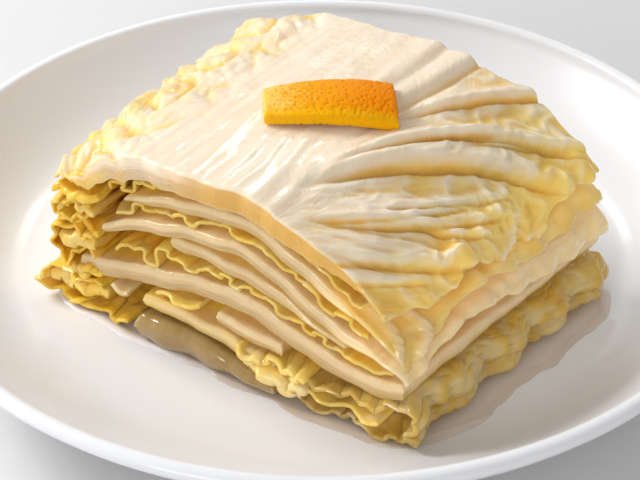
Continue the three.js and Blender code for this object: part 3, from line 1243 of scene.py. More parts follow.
@dataclass(frozen=True)
class BrineFinish:
    """Thin clear brine.

    Attributes:
        water: Colour that the light takes on in it.
        glint: Colour of the glint painted along its rounded edge.
        clear: How much it covers where it is flat.
        edge: How much more it covers at its edge.
    """

    water: Colour = light(232, 206, 176)
    glint: Colour = light(255, 250, 248)
    clear: float = 0.18
    edge: float = 0.7

    def make(self) -> bpy.types.Material:
        """Builds the material.

        Returns:
            The material.
        """
        tree = FinishTree("brine")
        edge = tree.mark("edge")
        return tree.surface(
            {
                "Base Color": tree.blend(self.water, self.glint, edge),
                "Roughness": 0.08,
                "Alpha": self.clear + edge * self.edge,
                "IOR": WATER_INDEX,
            }
        )


TOP_LEAF = LeafFinish(
    "top_leaf",
    light(247, 229, 206), light(252, 214, 122), light(228, 176, 76), light(230, 160, 60),
    roughness=0.25, coat=0.3, glow=0.6, fibre=0.09, agate=0.8, depth=1.4, through=0.12,
)
STEM_LEAF = LeafFinish(
    "stem_flesh",
    light(231, 205, 159), light(242, 208, 118), light(230, 200, 112), light(238, 204, 96),
    roughness=0.2, coat=0.6, glow=0.7, fibre=0.1, agate=0.9, depth=1.6, through=0.2,
)
BLADE_LEAF = LeafFinish(
    "yellow_blade",
    light(251, 232, 178), light(250, 214, 104), light(246, 186, 62), light(246, 200, 72),
    roughness=0.26, coat=0.3, glow=0.3, fibre=0.1, agate=0.1, depth=0.8, through=0.15,
)
CURLED_LEAF = LeafFinish(
    "curled_blade",
    light(250, 222, 148), light(250, 206, 70), light(242, 180, 40), light(246, 200, 72),
    roughness=0.26, coat=0.3, glow=0.4, fibre=0.1, agate=0.1, depth=0.8, through=0.2,
)
WET_LEAF = LeafFinish(
    "wet_leaf",
    light(206, 182, 126), light(206, 172, 78), light(190, 150, 56), light(224, 168, 58),
    roughness=0.18, coat=0.7, glow=0.4, fibre=0.08, agate=0.8, depth=0.8, through=0.08,
)
FOOT_STEM = LeafFinish(
    "brine_soaked_stem",
    light(168, 140, 86), light(184, 148, 78), light(156, 122, 64), light(156, 116, 54),
    roughness=0.12, coat=1.0, glow=0.9, fibre=0.05, agate=0.4, depth=2.0, through=0.0,
)


# ------------------------------------------------------------------ top leaf
@dataclass(frozen=True)
class Fold:
    """A long soft fold of the top leaf.

    Attributes:
        start: Where it begins, s and t.
        end: Where it ends, s and t.
        bow: How far its middle stands to the side.
        width: Half-width of its crest.
        height: Height of its crest.
        lean: Share by which its front side is steeper than its back side.
        tint: How yellow its valley is painted, as painted shade.
    """

    start: Pair
    end: Pair
    bow: float
    width: float
    height: float
    lean: float = 0.3
    tint: float = 0.0

    def crest(self, s: Grid, t: Grid) -> tuple[Grid, Grid, Grid]:
        """Height that it adds, and its share of the surface.

        Args:
            s: Distance along the cut face.
            t: Distance behind the cut face.

        Returns:
            Height added, and how much each point belongs to its crest and its valley.
        """
        ds, dt = self.end[0] - self.start[0], self.end[1] - self.start[1]
        length = math.hypot(ds, dt)
        x = ((s - self.start[0]) * ds + (t - self.start[1]) * dt) / length**2
        y = ((s - self.start[0]) * dt - (t - self.start[1]) * ds) / length
        y = y - self.bow * 4 * np.clip(x, -0.1, 1.1) * (1 - np.clip(x, -0.1, 1.1))
        fade = step_between(x, -0.12, 0.35) * fall_between(x, 0.95, 1.2)
        steep = self.width * (1 - self.lean)
        width = np.where(y > 0, steep, self.width * (1 + self.lean))
        crest = np.exp(-((y / width) ** 2)) * fade
        valley = np.exp(-(((y - 1.5 * steep) / (0.45 * steep)) ** 2)) * fade
        return self.height * (crest - 0.5 * valley), crest, valley


@dataclass
class TopLeaf(Leaf):
    """The leaf on top: a thick white rib with a crinkled and a folded side.

    Attributes:
        name: Name of the piece and of the CAD node that it stands for.
        slot: Material slot of the record; not used.
        columns: Grid steps across the leaf before its hanging hem.
        hem_columns: Grid steps down the hanging hem.
        rows: Grid steps along the leaf.
        rib_spacing: Distance between the fine ribs.
        rib_depth: Depth of the grooves between them.
        fan_centre: Where the veins of the right side spread from.
        crinkle_depth: Depth of the crinkles along the left margin.
        overhang: How far it stands out past the cut face.
        spare: How far it stands out past the back.
        rib_middle: Where along the cut face it is thickest.
        rib_thickness: Its thickness there.
        bend_inset: How far inside the block's right side it bends down.
        hem_insets: How far inside its hem hangs, at the cut face and behind it.
        hem_slopes: Slopes of the hem there, in radians.
        hem: Heights of its right hem at distances behind the cut face.
        folds: Its long folds.
        noise: Its unevenness.
    """

    name: str = "leaf_top"
    slot: Slot = Slot.TOP
    columns: int = 200
    hem_columns: int = 60
    rows: int = 166
    rib_spacing: float = 3.3
    rib_depth: float = 0.2
    fan_centre: Pair = (34, -14)
    crinkle_depth: float = 1.5
    overhang: float = 0.6
    spare: float = 0.5
    rib_middle: float = 33
    rib_thickness: float = 4.0
    bend_inset: float = 7.6
    hem_insets: Pair = (3.1, 1.6)
    hem_slopes: Pair = (math.radians(32), math.radians(80))
    hem: tuple[Pair, ...] = (
        (-1, 21.6), (4, 21.0), (8.5, 20.0), (12.5, 20.3), (16, 22.6), (20.5, 20.6),
        (25, 18.2), (30, 16.6), (35, 18.2), (41, 22.2), (46, 22.6), (51.5, 21.6),
    )
    folds: tuple[Fold, ...] = (
        Fold((44, 9), (66.5, 39), -2.2, 2.3, 2.1, 0.45, 0.9),
        Fold((50, 4), (65.5, 27), 1.2, 1.2, 1.1, 0.4, 0.8),
        Fold((52, -2.5), (66.5, 15), -0.5, 1.7, 1.4, 0.4, 0.9),
        Fold((47, 21), (67, 48), -1.2, 1.6, 1.5, 0.45, 1.0),
        Fold((46, 30), (60, 54), -0.8, 1.2, 1.2, 0.4, 0.9),
        Fold((42.5, 24), (47, 54), 0.4, 1.9, 0.9, 0.3, 0.5),
        Fold((39, 27), (40.5, 54), 0.2, 2.0, 0.5, 0.2, 0.15),
        Fold((48, 2), (61, 22), 1.0, 0.8, 0.6, 0.3, 0.6),
        Fold((45, 14), (58, 38), -0.7, 0.9, 0.8, 0.35, 0.6),
        Fold((53, 11), (64, 30), 0.6, 0.8, 0.6, 0.3, 0.6),
        Fold((56, 33), (68, 50), 0.3, 0.9, 0.8, 0.3, 0.9),
        Fold((55, -3), (64, 8), 0.3, 0.8, 0.6, 0.3, 0.9),
        Fold((57.5, 14), (66.5, 23), 0.8, 0.9, 0.9, 0.3, 0.8),
    )
    noise: Wrinkles = field(default_factory=lambda: Wrinkles(11))

    def ribs(self, s: Grid, t: Grid) -> Grid:
        """Height of the fine ribs of the thick middle.

        Args:
            s: Distance along the cut face.
            t: Distance behind the cut face.

        Returns:
            Height added, 0 on the crests.
        """
        drift = 0.5 * self.noise.at(s / 9, t / 17) * self.rib_spacing
        crest = np.abs(np.sin(np.pi * (s + 0.12 * t + drift) / self.rib_spacing)) ** 2.4
        uneven = 0.55 + 0.6 * self.noise.at(s / 5.2, t / 24 + 4)
        share = step_between(s, 14, 24) * fall_between(s, 46, 54)
        fade = lerp(1.0, 0.45, step_between(t, 8, 40))
        return -self.rib_depth * (1 - crest) * uneven * share * fade

    def crinkles(self, s: Grid, t: Grid) -> tuple[Grid, Grid]:
        """Crinkles of the left margin.

        Args:
            s: Distance along the cut face.
            t: Distance behind the cut face.

        Returns:
            Height added, and how yellow the margin is; it is yellower along its crease lines, as
            painted shade.
        """
        noise, left = self.noise, fall_between(s, 9, 27)
        across, along = 0.87 * s + 0.5 * t, 0.87 * t - 0.5 * s
        bend = 1.6 * noise.at(along / 7, across / 9)
        lobes = noise.creased((across + bend) / 5.6, along / 12 + 3.1)
        small = noise.creased((across + 0.6 * bend) / 2.3 + 9, along / 5.5)
        height = self.crinkle_depth * left * (1.25 * lobes + 0.35 * small - 0.9)
        patchy = lerp(0.4, 1.0, step_between(noise.at(s / 6 + 3, t / 8), -0.25, 0.35))
        # painted shade: the margin is yellower along its crease lines
        creases = 1.3 - 0.9 * step_between(lobes, 0.05, 0.5)
        return height, left * (creases * patchy + 0.3)

    def gathers(self, s: Grid, t: Grid) -> tuple[Grid, Grid]:
        """Veins, pinches and crumples of the right side.

        Args:
            s: Distance along the cut face.
            t: Distance behind the cut face.

        Returns:
            Height added, and how yellow the side is: yellower in its low places and paler on its
                crumpled crests, as painted shade and painted highlight.
        """
        noise, right, hem = self.noise, step_between(s, 42, 56), self.near_hem(s)
        fan, _ = self.fan(s, t)
        veins = noise.layered(fan / 3.4, (s + t) / 22, 3) * (1 - 0.6 * hem)
        sway = 0.8 * noise.at(s / 6, t / 5)
        pinches = 0.5 - noise.creased(fan / 2.5 + sway, (s + t) / 9 + 2)
        lobe = hem * lerp(0.45, 1.0, step_between(t, 8, 15) * fall_between(t, 34, 42))
        bend = noise.at(s / 5, t / 6 + 8)
        crumple = 0.5 - noise.creased(s / 5.4 + 0.4 * bend, t / 4.6 + 5)
        crumple = crumple + 0.6 * (0.5 - noise.creased(s / 2.7 + 3, t / 2.5 + 0.6 * bend))
        # painted shade and highlight: yellower where the veins and pinches lie low, paler on the
        # crumples' crests
        patches = np.clip(0.25 - 0.6 * veins - 0.5 * pinches, 0, 1)
        height = right * (0.5 * veins + 0.4 * pinches) + 0.6 * lobe * crumple
        return height, right * (0.25 + 0.9 * patches) + 0.3 * hem - 0.5 * lobe * crumple

    def relief(self, s: Grid, t: Grid) -> tuple[Grid, Grid]:
        """Height of the ribs, crinkles and folds over the smooth dome.

        Args:
            s: Distance along the cut face, measured over the surface past the hem.
            t: Distance behind the cut face.

        Returns:
            Height added, and how yellow the leaf is, with painted shade in the folds' valleys and
            a painted highlight on their crests.
        """
        inside = step_between(t, -0.8, 3.5)
        crinkle, yellow_left = self.crinkles(s, t)
        gathers, yellow_right = self.gathers(s, t)
        height = self.ribs(s, t) + crinkle + gathers * lerp(0.4, 1.0, inside)
        tint, creased = yellow_left + yellow_right, 1 - 0.6 * self.near_hem(s)
        for fold in self.folds:
            added, crest, valley = fold.crest(s, t)
            height = height + added * lerp(0.35, 1.0, inside)
            # painted highlight on each fold's crest and painted shade in its valley
            tint = tint * (1 - 0.6 * crest * creased) + 0.8 * fold.tint * valley
        height = height + 0.08 * self.noise.at(s / 4.5, t / 6)
        return height, np.clip(tint, 0, 1)

    @staticmethod
    def near_hem(s: Grid) -> Grid:
        """1 at the right hem, 0 away from it."""
        return step_between(s, 55, 66)

    def fan(self, s: Grid, t: Grid) -> tuple[Grid, Grid]:
        """Distances across and along the fan of veins on the right side."""
        s, t = s - self.fan_centre[0], t - self.fan_centre[1]
        return 40 * np.arctan2(s, t), np.hypot(s, t)

    def thickness(self, s: Grid, t: Grid) -> Grid:
        """Thickness of the leaf square to its surface.

        Args:
            s: Distance along the cut face.
            t: Distance behind the cut face.

        Returns:
            Thickness.
        """
        x = np.clip((s - self.rib_middle) / 27, -1, 1)
        full = 1 - np.abs(x) ** np.where(x < 0, 6, 4)
        tip = 1 - 0.4 * np.clip(t / LEAF_LENGTH, 0, 1)
        return lerp(BLADE_THICKNESS, self.rib_thickness, full) * tip

    def sheet(self) -> Sheet:
        """Lays the leaf over the block.

        Returns:
            The leaf with its folds, crinkles and hanging hem.
        """
        noise = self.noise
        length = LEAF_LENGTH + self.overhang + self.spare
        t_flat = (edge_rows(length, self.rows) - self.overhang)[:, None]
        away = step_between(t_flat, 0, 9)
        start = 2.2 + 0.9 * wave(t_flat, 8.5, 0.4) + 0.5 * noise.at(t_flat / 2.2, 7.7)
        bend = right_margin(t_flat) - self.bend_inset + 1.2 * away
        scallop = 0.2 * wave(t_flat, 4.3, 0.3) + 0.5 * noise.at(t_flat / 2.6, 0.5)
        hem_z = through(self.hem)(t_flat) + 0.8 * scallop * away
        hem_s = right_margin(t_flat) - lerp(*self.hem_insets, away)
        hem_s = hem_s + 0.4 * wave(t_flat, 6.7, 1.1) * away
        hanging = np.hypot(hem_s - bend, hem_z - dome(bend, t_flat)) * LOOSE
        u = edge_rows(1.0, self.columns, 0.0012)[:-1]
        main, laid, drop = laid_out(start, bend, u, hanging, self.hem_columns)
        t = np.broadcast_to(t_flat, laid.shape).copy()
        t += 0.35 * wave(laid, 19, 1.0) + 0.3 * noise.at(laid / 3.4, t / 50)
        s, z = draped(dome, main, t, (hem_s, hem_z), drop, lerp(*self.hem_slopes, away))
        base = np.stack([s, t, z], axis=2)

        relief, tint = self.relief(laid, t)
        past = laid - bend
        loose = noise.at(t / 3.6 + 0.05 * past, past / 16 + 9)
        relief = relief + 0.9 * step_between(past, -1, 4) * loose * away
        normal = section_normals(base)
        upper = base + normal * relief[..., None]
        lower = upper - normal * self.thickness(laid, t)[..., None]

        wall = fall_between(t_flat, -self.overhang, 0.1 - self.overhang)
        tint = tint + wall * (0.55 * step_between(laid, 20, 40) + 0.3 * fall_between(laid, 4, 18))
        off_rib = step_between(np.abs(laid - self.rib_middle), 8, 22)
        # painted shade in the relief's creases and along the front edge's wall
        hollow = hollowness(relief, 9, 0.5) * off_rib * (1 - 0.35 * fall_between(laid, 9, 27))
        fan, out = self.fan(laid, t)
        turned = step_between(laid, 42, 54)
        marks = {
            "tint": np.clip(tint + 0.1 * step_between(past, -2, 4), 0, 1),
            "hollow": np.maximum(hollow, 0.95 * wall * step_between(laid, 22, 36)),
            "deep": 0.0,
            # painted glow on the hanging hem
            "lit": 0.8 * step_between(past, -3, 2) * away,
            "across": lerp(laid, fan + 28, turned),
            "along": lerp(t, out, turned),
        }
        return Sheet(upper, lower, marks, corner=0.5, wall_strips=5, bulge=0.1)


# ------------------------------------------------------------------ stems
@dataclass(frozen=True)
class Hang:
    """How a stem's blade hangs over the block's right side.

    Attributes:
        bend: Where it bends down at the cut face, distance along the face.
        inset: How far its hem hangs inside the block's right side.
        hem: Heights of its hem at distances behind the cut face.
        pleat: Height of the pleats that spread from its front corner.
        shift: How much further out it bends behind the cut face.
        pitch: Angle between two pleats, in radians.
        crest: Share of the pitch that a pleat's crest takes.
    """

    bend: float
    inset: float
    hem: tuple[Pair, ...]
    pleat: float
    shift: float = 0.0
    pitch: float = 0.4
    crest: float = 0.4


@dataclass
class Stem(Leaf):
    """One stem of the block, from its cut face to its tip.

    Attributes:
        name: Name of the piece and of the CAD node that it stands for.
        layer: Its two faces.
        start: Left end, distance along the cut face.
        end: Right end.
        front: How far its cut end stands back from the cut face.
        seed: Number that fixes its unevenness.
        tint: How yellow it is at its sides.
        columns: Grid steps across it.
        rows: Grid steps along it.
        wobble: How far its level wanders.
        slot: Material slot of the record; not used.
        ragged: How far its right end wanders.
        hang: How its blade hangs over the block's side, if it does.
        corner: Radius of its rounded edges.
        hem_columns: Grid steps down a hanging blade.
        fall: Slope of a hanging blade's hem, in radians.
        blade: Thickness of a hanging blade.
        row_pull: How far a hanging stem's rows are drawn to its cut end, for each row.
    """

    name: str
    layer: Layer
    start: float
    end: float
    front: float
    seed: int
    tint: float = 0.35
    columns: int = 240
    rows: int = 22
    wobble: float = 0.22
    slot: Slot = Slot.STEM
    ragged: float = 0.7
    hang: Optional[Hang] = None
    corner: float = 0.42
    hem_columns: int = 60
    fall: float = math.radians(78)
    blade: float = 0.7
    row_pull: float = 0.0875

    def hanging(self, noise: Wrinkles, t_flat: Grid, start: Grid) -> Sheet:
        """Lays the stem's blade over the block's side in a pleated curtain.

        Args:
            noise: Its unevenness.
            t_flat: Distances behind the cut face, rows by 1.
            start: Left end of each row.

        Returns:
            The stem with its curtain.
        """
        hang, layer = self.hang, self.layer
        away = step_between(t_flat, 1, 9)
        bend = hang.bend + SIDE_FLARE * t_flat + hang.shift * away
        scallop = 0.12 * wave(t_flat, 5.3, self.seed) + 0.3 * noise.at(t_flat / 3.1, 8.1)
        hem_z = through(hang.hem)(t_flat) + scallop * away
        hem_s = right_margin(t_flat) - hang.inset + 0.3 * wave(t_flat, 7.9, self.seed)
        length = np.hypot(hem_s - bend, hem_z - layer.over(bend, t_flat)) * LOOSE
        u = self.shares()[:-1]
        main, laid, drop = laid_out(start, bend, u, length, self.hem_columns)
        t = self.swaying(noise, laid, t_flat)
        s, z = draped(layer.centre, main, t, (hem_s, hem_z), drop, self.fall)
        base = np.stack([s, t, z], axis=2)

        past = laid - bend
        ray = np.arctan2(t + 1.5, z - hang.hem[0][1] + 2.5) + 0.12 * noise.at(t / 4, z / 4)
        near = 1 - 0.75 * step_between(t, 10, 26)
        crest = np.exp(-((np.sin(np.pi * ray / hang.pitch) / hang.crest) ** 2))
        pleats = hang.pleat * near * (crest - 0.4) * step_between(past, -3.5, 1.5)
        drift = noise.at(laid / 6, t / 7)
        puckers = 0.45 * (0.5 - noise.creased(laid / 4.6 + 0.5 * drift, t / 3.8 + 2))
        puckers = (puckers + 0.2 * drift) * step_between(past, -4, 2)
        flat = self.wobble * noise.layered(laid / 7, t / 14, 2)
        rise = flat + (pleats + puckers) * step_between(t, -1, 3)
        base = base + section_normals(base) * rise[..., None]
        own = lerp(layer.across(laid), self.blade, step_between(past, -2, 1.5))

        tint = self.tint * lerp(0.3, 1.5, step_between(past, -7, 1))
        # painted highlight: the pleats' crests near the front are painted paler
        tint = np.clip(tint * (1 - 0.8 * near * crest * step_between(past, -1, 2)), 0, 1)
        # painted glow of the thin hanging curtain, in place of daylight through it
        thin = np.where(past > 0, 1 - tint, 0.4) * step_between(t_flat, 0, 2)
        # painted light at the corner where the stem bends down: it glows and loses its painted
        # cut-face shade
        corner = 0.9 * step_between(past, -9, -1) * fall_between(past, 3, 9)
        marks = {
            "tint": tint,
            # painted shade in the curtain's creases
            "hollow": hollowness(rise, 6, 0.4),
            # painted gap colour a little behind the cut face
            "deep": step_between(base[..., 1], 0.1, 2.4) * step_between(-past, 0, 3),
            "lit": np.maximum(thin, corner),
            "across": past,
            "along": base[..., 1],
        }
        return Sheet(*both_faces(base, own), marks, self.corner, 5, 0.12, self.seed)

    def lying(self, noise: Wrinkles, t_flat: Grid, start: Grid) -> Sheet:
        """Lays the stem out as far as its right end.

        Args:
            noise: Its unevenness.
            t_flat: Distances behind the cut face, rows by 1.
            start: Left end of each row.

        Returns:
            The stem.
        """
        flare = SIDE_FLARE * t_flat * (self.end / CUT_WIDTH)
        end = self.end + flare + self.ragged * noise.at(t_flat / 4, 5.3)
        u = self.shares()[None, :]
        s = start + (end - start) * u
        t = self.swaying(noise, s, t_flat)
        half = (self.layer.over(s, t) - self.layer.under(s, t)) / 2
        half = half * (1 + 0.2 * noise.layered(s / 5, t / 12 + 4, 2))
        middle = self.layer.centre(s, t) + self.wobble * noise.layered(s / 7, t / 14, 2)
        upper = np.stack([s, t, middle + half], axis=2)
        lower = np.stack([s, t, middle - half], axis=2)
        far = np.abs((u - 0.5) * 2) ** 3
        marks = {
            "tint": np.clip(self.tint * (0.45 + 0.55 * far), 0, 1),
            "hollow": 0.0,
            # painted gap colour a little behind the cut face
            "deep": step_between(t, 0.1, 2.4) * step_between(end - s, 2, 5),
            # painted glow in the gaps just behind the cut face
            "lit": 0.4 * step_between(t, 0.1, 2.4),
            "across": s,
            "along": t,
        }
        return Sheet(upper, lower, marks, self.corner, 5, 0.14, self.seed)

    def shares(self) -> Grid:
        """Shares of the way from its left end to its right end or bend."""
        return edge_rows(1.0, self.columns, 0.08 / (self.end - self.start))

    @staticmethod
    def swaying(noise: Wrinkles, s: Grid, t_flat: Grid) -> Grid:
        """Distances behind the cut face, uneven from column to column."""
        t = np.broadcast_to(t_flat, s.shape)
        return t + 0.45 * noise.at(s / 5.5, t / 60 + 2)

    def sheet(self) -> Sheet:
        """Lays the stem out.

        Returns:
            The stem, with its curtain if its blade hangs.
        """
        noise = Wrinkles(self.seed)
        length = LEAF_LENGTH - 2 * self.front
        run = edge_rows(length, self.rows)
        if self.hang:
            f = run / length
            run = run - self.row_pull * self.rows * np.sin(np.pi * f) * (1 - f) * f
        t_flat = (self.front + run)[:, None]
        start = self.start + 0.6 * noise.at(t_flat / 5, 0.3)
        return (self.hanging if self.hang else self.lying)(noise, t_flat, start)


# ------------------------------------------------------------------ frills
@dataclass
class Frill(Leaf):
    """Thin frilled blade that waves up and down between two faces.

    Attributes:
        name: Name of the piece and of the CAD node that it stands for.
        support: Height of the face below it.
        ceiling: Height of the face above it.
        wave_length: Length of its main waves.
        phase: Where the waves begin.
        start: Left end, distance along the cut face.
        end: Right end.
        front: How far its edge stands back from the cut face.
        seed: Number that fixes its unevenness.
        columns: Grid steps across it.
        rows: Grid steps along it.
        thickness: Thickness of the blade.
        ruffle: Length of the ruffles along its edge.
        slot: Material slot of the record; not used.
    """

    name: str
    support: Level
    ceiling: Level
    wave_length: float
    phase: float
    start: float
    end: float
    front: float
    seed: int
    columns: int = 420
    rows: int = 44
    thickness: float = 0.6
    ruffle: float = 3.9
    slot: Slot = Slot.BLADE

    def sheet(self) -> Sheet:
        """Waves the frill between its two faces.

        Returns:
            The frill.
        """
        noise = Wrinkles(self.seed)
        t_flat = (self.front + edge_rows(LEAF_LENGTH - 1.5 * self.front, self.rows))[:, None]
        start = self.start + 1.1 * wave(t_flat, 13, self.phase)
        end = self.end + SIDE_FLARE * t_flat + 0.9 * wave(t_flat, 12, self.phase + 1)
        u = edge_rows(1.0, self.columns, 0.0016)[None, :]
        s = start + (end - start) * u
        t = np.broadcast_to(t_flat, s.shape).copy()
        edge = fall_between(t, self.front, self.front + 8)
        t += edge * (0.5 * noise.at(s / 2.1, 3.3) + 0.8 * noise.at(s / 6.1, 1.3))
        lowest = self.support(s, t) + self.thickness / 2 + AIR
        highest = self.ceiling(s, t) - self.thickness / 2 - AIR
        near = np.minimum(t, LEAF_LENGTH - t) / LEAF_LENGTH
        showing = 0.25 + 0.75 * fall_between(near, 0.02, 0.3)
        ripple = wave(s, self.wave_length, self.phase + 0.8 * np.sin(t / 8 + self.phase))
        phase = 2 * np.pi * s / self.ruffle + 2.2 * noise.at(s / 9, t / 12)
        size = np.clip(0.45 + 0.95 * noise.at(s / 5.5, 4.4), 0.04, 1)
        ruffle = size * np.sin(phase) + 0.3 * noise.at(s / 1.1, t / 4)
        share = np.clip(0.5 + 0.5 * showing * (0.45 * ripple + 0.8 * ruffle), 0.0, 1.0)
        room = np.clip((highest - lowest) / 2.6, 0, 1)
        s = s - 0.2 * self.ruffle * showing * room * size * np.sin(2 * phase + 0.5)
        z = lerp(lowest, np.maximum(highest, lowest), share)
        faces = both_faces(np.stack([s, t, z], axis=2), self.thickness)
        marks = {
            "tint": np.clip(0.8 + 0.35 * noise.at(s / 4, t / 4), 0, 1),
            # painted shade in the frill's troughs
            "hollow": hollowness(z, 6, 0.5) * 0.8,
            # painted gap colour a little behind the cut face
            "deep": 0.9 * step_between(t, 1.4, 4.5) * step_between(end - s, 1.5, 4),
            "across": start + (end - start) * u,
            "along": t,
        }
        return Sheet(*faces, marks, 0.28, 2, 0.04, self.seed)


# ------------------------------------------------------------------ folded leaves
@dataclass
class FoldedLeaf(Leaf):
    """Leaf whose section is a smooth curve, so that it can fold back over itself.

    Attributes:
        name: Name of the piece and of the CAD node that it stands for.
        slot: Material slot of the record.
        path: Section through a few points, s and z, so that its left side is up.
        thickness: Thickness of the leaf.
        seed: Number that fixes its unevenness.
        phase: Where its waves begin.
        ripple: Height of its waves.
        front: How far its edge stands back from the cut face.
        columns: Grid steps along the section.
        rows: Grid steps along the leaf.
        pucker: Height of the fine puckers.
        tint: How yellow it is.
        ruffle: Height of the ruffles along its cut edge.
        ruffle_length: Length of these ruffles.
        pleat: Height of the slanting pleats of its outer side.
        inside: How strongly the painted gap colour, in place of shade and of light through the
            leaves, covers it away from the cut face.
    """

    name: str
    slot: Slot
    path: tuple[Pair, ...]
    thickness: float
    seed: int
    phase: float
    ripple: float
    front: float = -1.0
    columns: int = 150
    rows: int = 90
    pucker: float = 0.35
    tint: float = 0.8
    ruffle: float = 0.0
    ruffle_length: float = 3.1
    pleat: float = 0.0
    inside: float = 0.6

    def section(self, u: Grid) -> tuple[Grid, float]:
        """The section at even shares of its length.

        Args:
            u: Shares from 0 to 1.

        Returns:
            Rows of s and z, and its length.
        """
        knots, last = np.array(self.path), len(self.path) - 1
        dense = []
        for i in range(last):
            p0, p1, p2, p3 = (knots[min(max(k, 0), last)] for k in range(i - 1, i + 3))
            f = np.linspace(0, 1, 40, endpoint=i == last - 1)[:, None]
            dense.append(hermite(f, p1, (p2 - p0) / 2, p2, (p3 - p1) / 2))
        line = np.concatenate(dense)
        run = np.concatenate([[0], np.cumsum(np.hypot(*np.diff(line, axis=0).T))])
        points = [np.interp(u * run[-1], run, line[:, k]) for k in (0, 1)]
        return np.stack(points, axis=1), float(run[-1])

    def sheet(self) -> Sheet:
        """Draws the leaf along its section.

        Returns:
            The leaf with its ruffles, puckers and pleats.
        """
        noise = Wrinkles(self.seed)
        u = edge_rows(1.0, self.columns, 0.004, 4)
        line, length = self.section(u)
        t_flat = (self.front + edge_rows(LEAF_LENGTH - 0.6 * self.front, self.rows))[:, None]
        x, y = (np.broadcast_to(line[:, k], (len(t_flat), len(u))) for k in (0, 1))
        run = u[None, :] * length
        t = t_flat + 0.5 * wave(run, 9, self.phase) + 0.5 * noise.at(run / 2.3, t_flat / 40)
        sway = 0.8 * wave(t, 12, self.phase) * np.sin(np.pi * u)[None, :]
        lift_up = self.ripple * wave(run, 9, self.phase + t / 11)
        s = x * (1 + SIDE_FLARE * t / CUT_WIDTH) + sway
        base = np.stack([s, t, np.maximum(y + lift_up, self.thickness / 2 + 0.1)], axis=2)

        cut_edge = self.ruffle * (1 - 0.8 * step_between(t, 0, 9))
        bend = 1.4 * noise.at(run / 4.5, t / 7)
        ruffles = wave(run + bend, self.ruffle_length, self.phase) + 0.5 * bend
        slant = (0.62 * t - 0.78 * run) / 3.4
        pleats = noise.creased(slant + 0.5 * bend, (0.78 * t + 0.62 * run) / 11) - 0.45
        pinches = 0.5 - noise.creased(run / 2.2 + bend, t / 2.7 + 4)
        outer = step_between(x, 54, 66)
        crests = outer * (pleats + 0.5 * pinches)
        rise = self.pucker * noise.layered(run / 4.5, t / 3.8, 2) + cut_edge * ruffles
        rise = rise + self.pleat * crests
        middle = base + section_normals(base) * rise[..., None]
        turn = self.phase + np.pi / 2
        middle[..., 0] -= 0.6 * cut_edge * wave(2 * (run + bend), self.ruffle_length, turn)
        middle[..., 2] = np.maximum(middle[..., 2], self.thickness / 2 + AIR)
        marks = {
            # painted highlight and shade: paler on the outer side's pleat crests, yellower in
            # their valleys
            "tint": np.clip(self.tint + 0.35 * noise.at(run / 6, t / 5) - crests, 0, 1),
            # painted shade in the leaf's creases
            "hollow": hollowness(rise, 6, 0.4),
            # painted gap colour away from the cut face
            "deep": self.inside * step_between(t, 1.0, 5.0) * (1 - outer),
            # painted glow on the leaf's outer side
            "lit": outer,
            "across": run,
            "along": t,
        }
        corner = min(0.45 * self.thickness, 0.8)
        return Sheet(*both_faces(middle, self.thickness), marks, corner, 4, 0.06, self.seed)


def top_ceiling(s: Grid, t: Grid) -> Grid:
    """Height of the top leaf's lower face without its folds.

    Args:
        s: Distance along the cut face.
        t: Distance behind the cut face.

    Returns:
        Height above the plate's floor, kept above the upper stem.
    """
    sunk = 0.88 * (step_between(s, 36, 58) + fall_between(s, 2, 14))
    own = upright_thickness(TopLeaf().thickness(s, t), dome, s, t)
    return soft_max(dome(s, t) - sunk - own, UPPER_STEM.over(s, t) + FRILL_SLOT - 0.2)


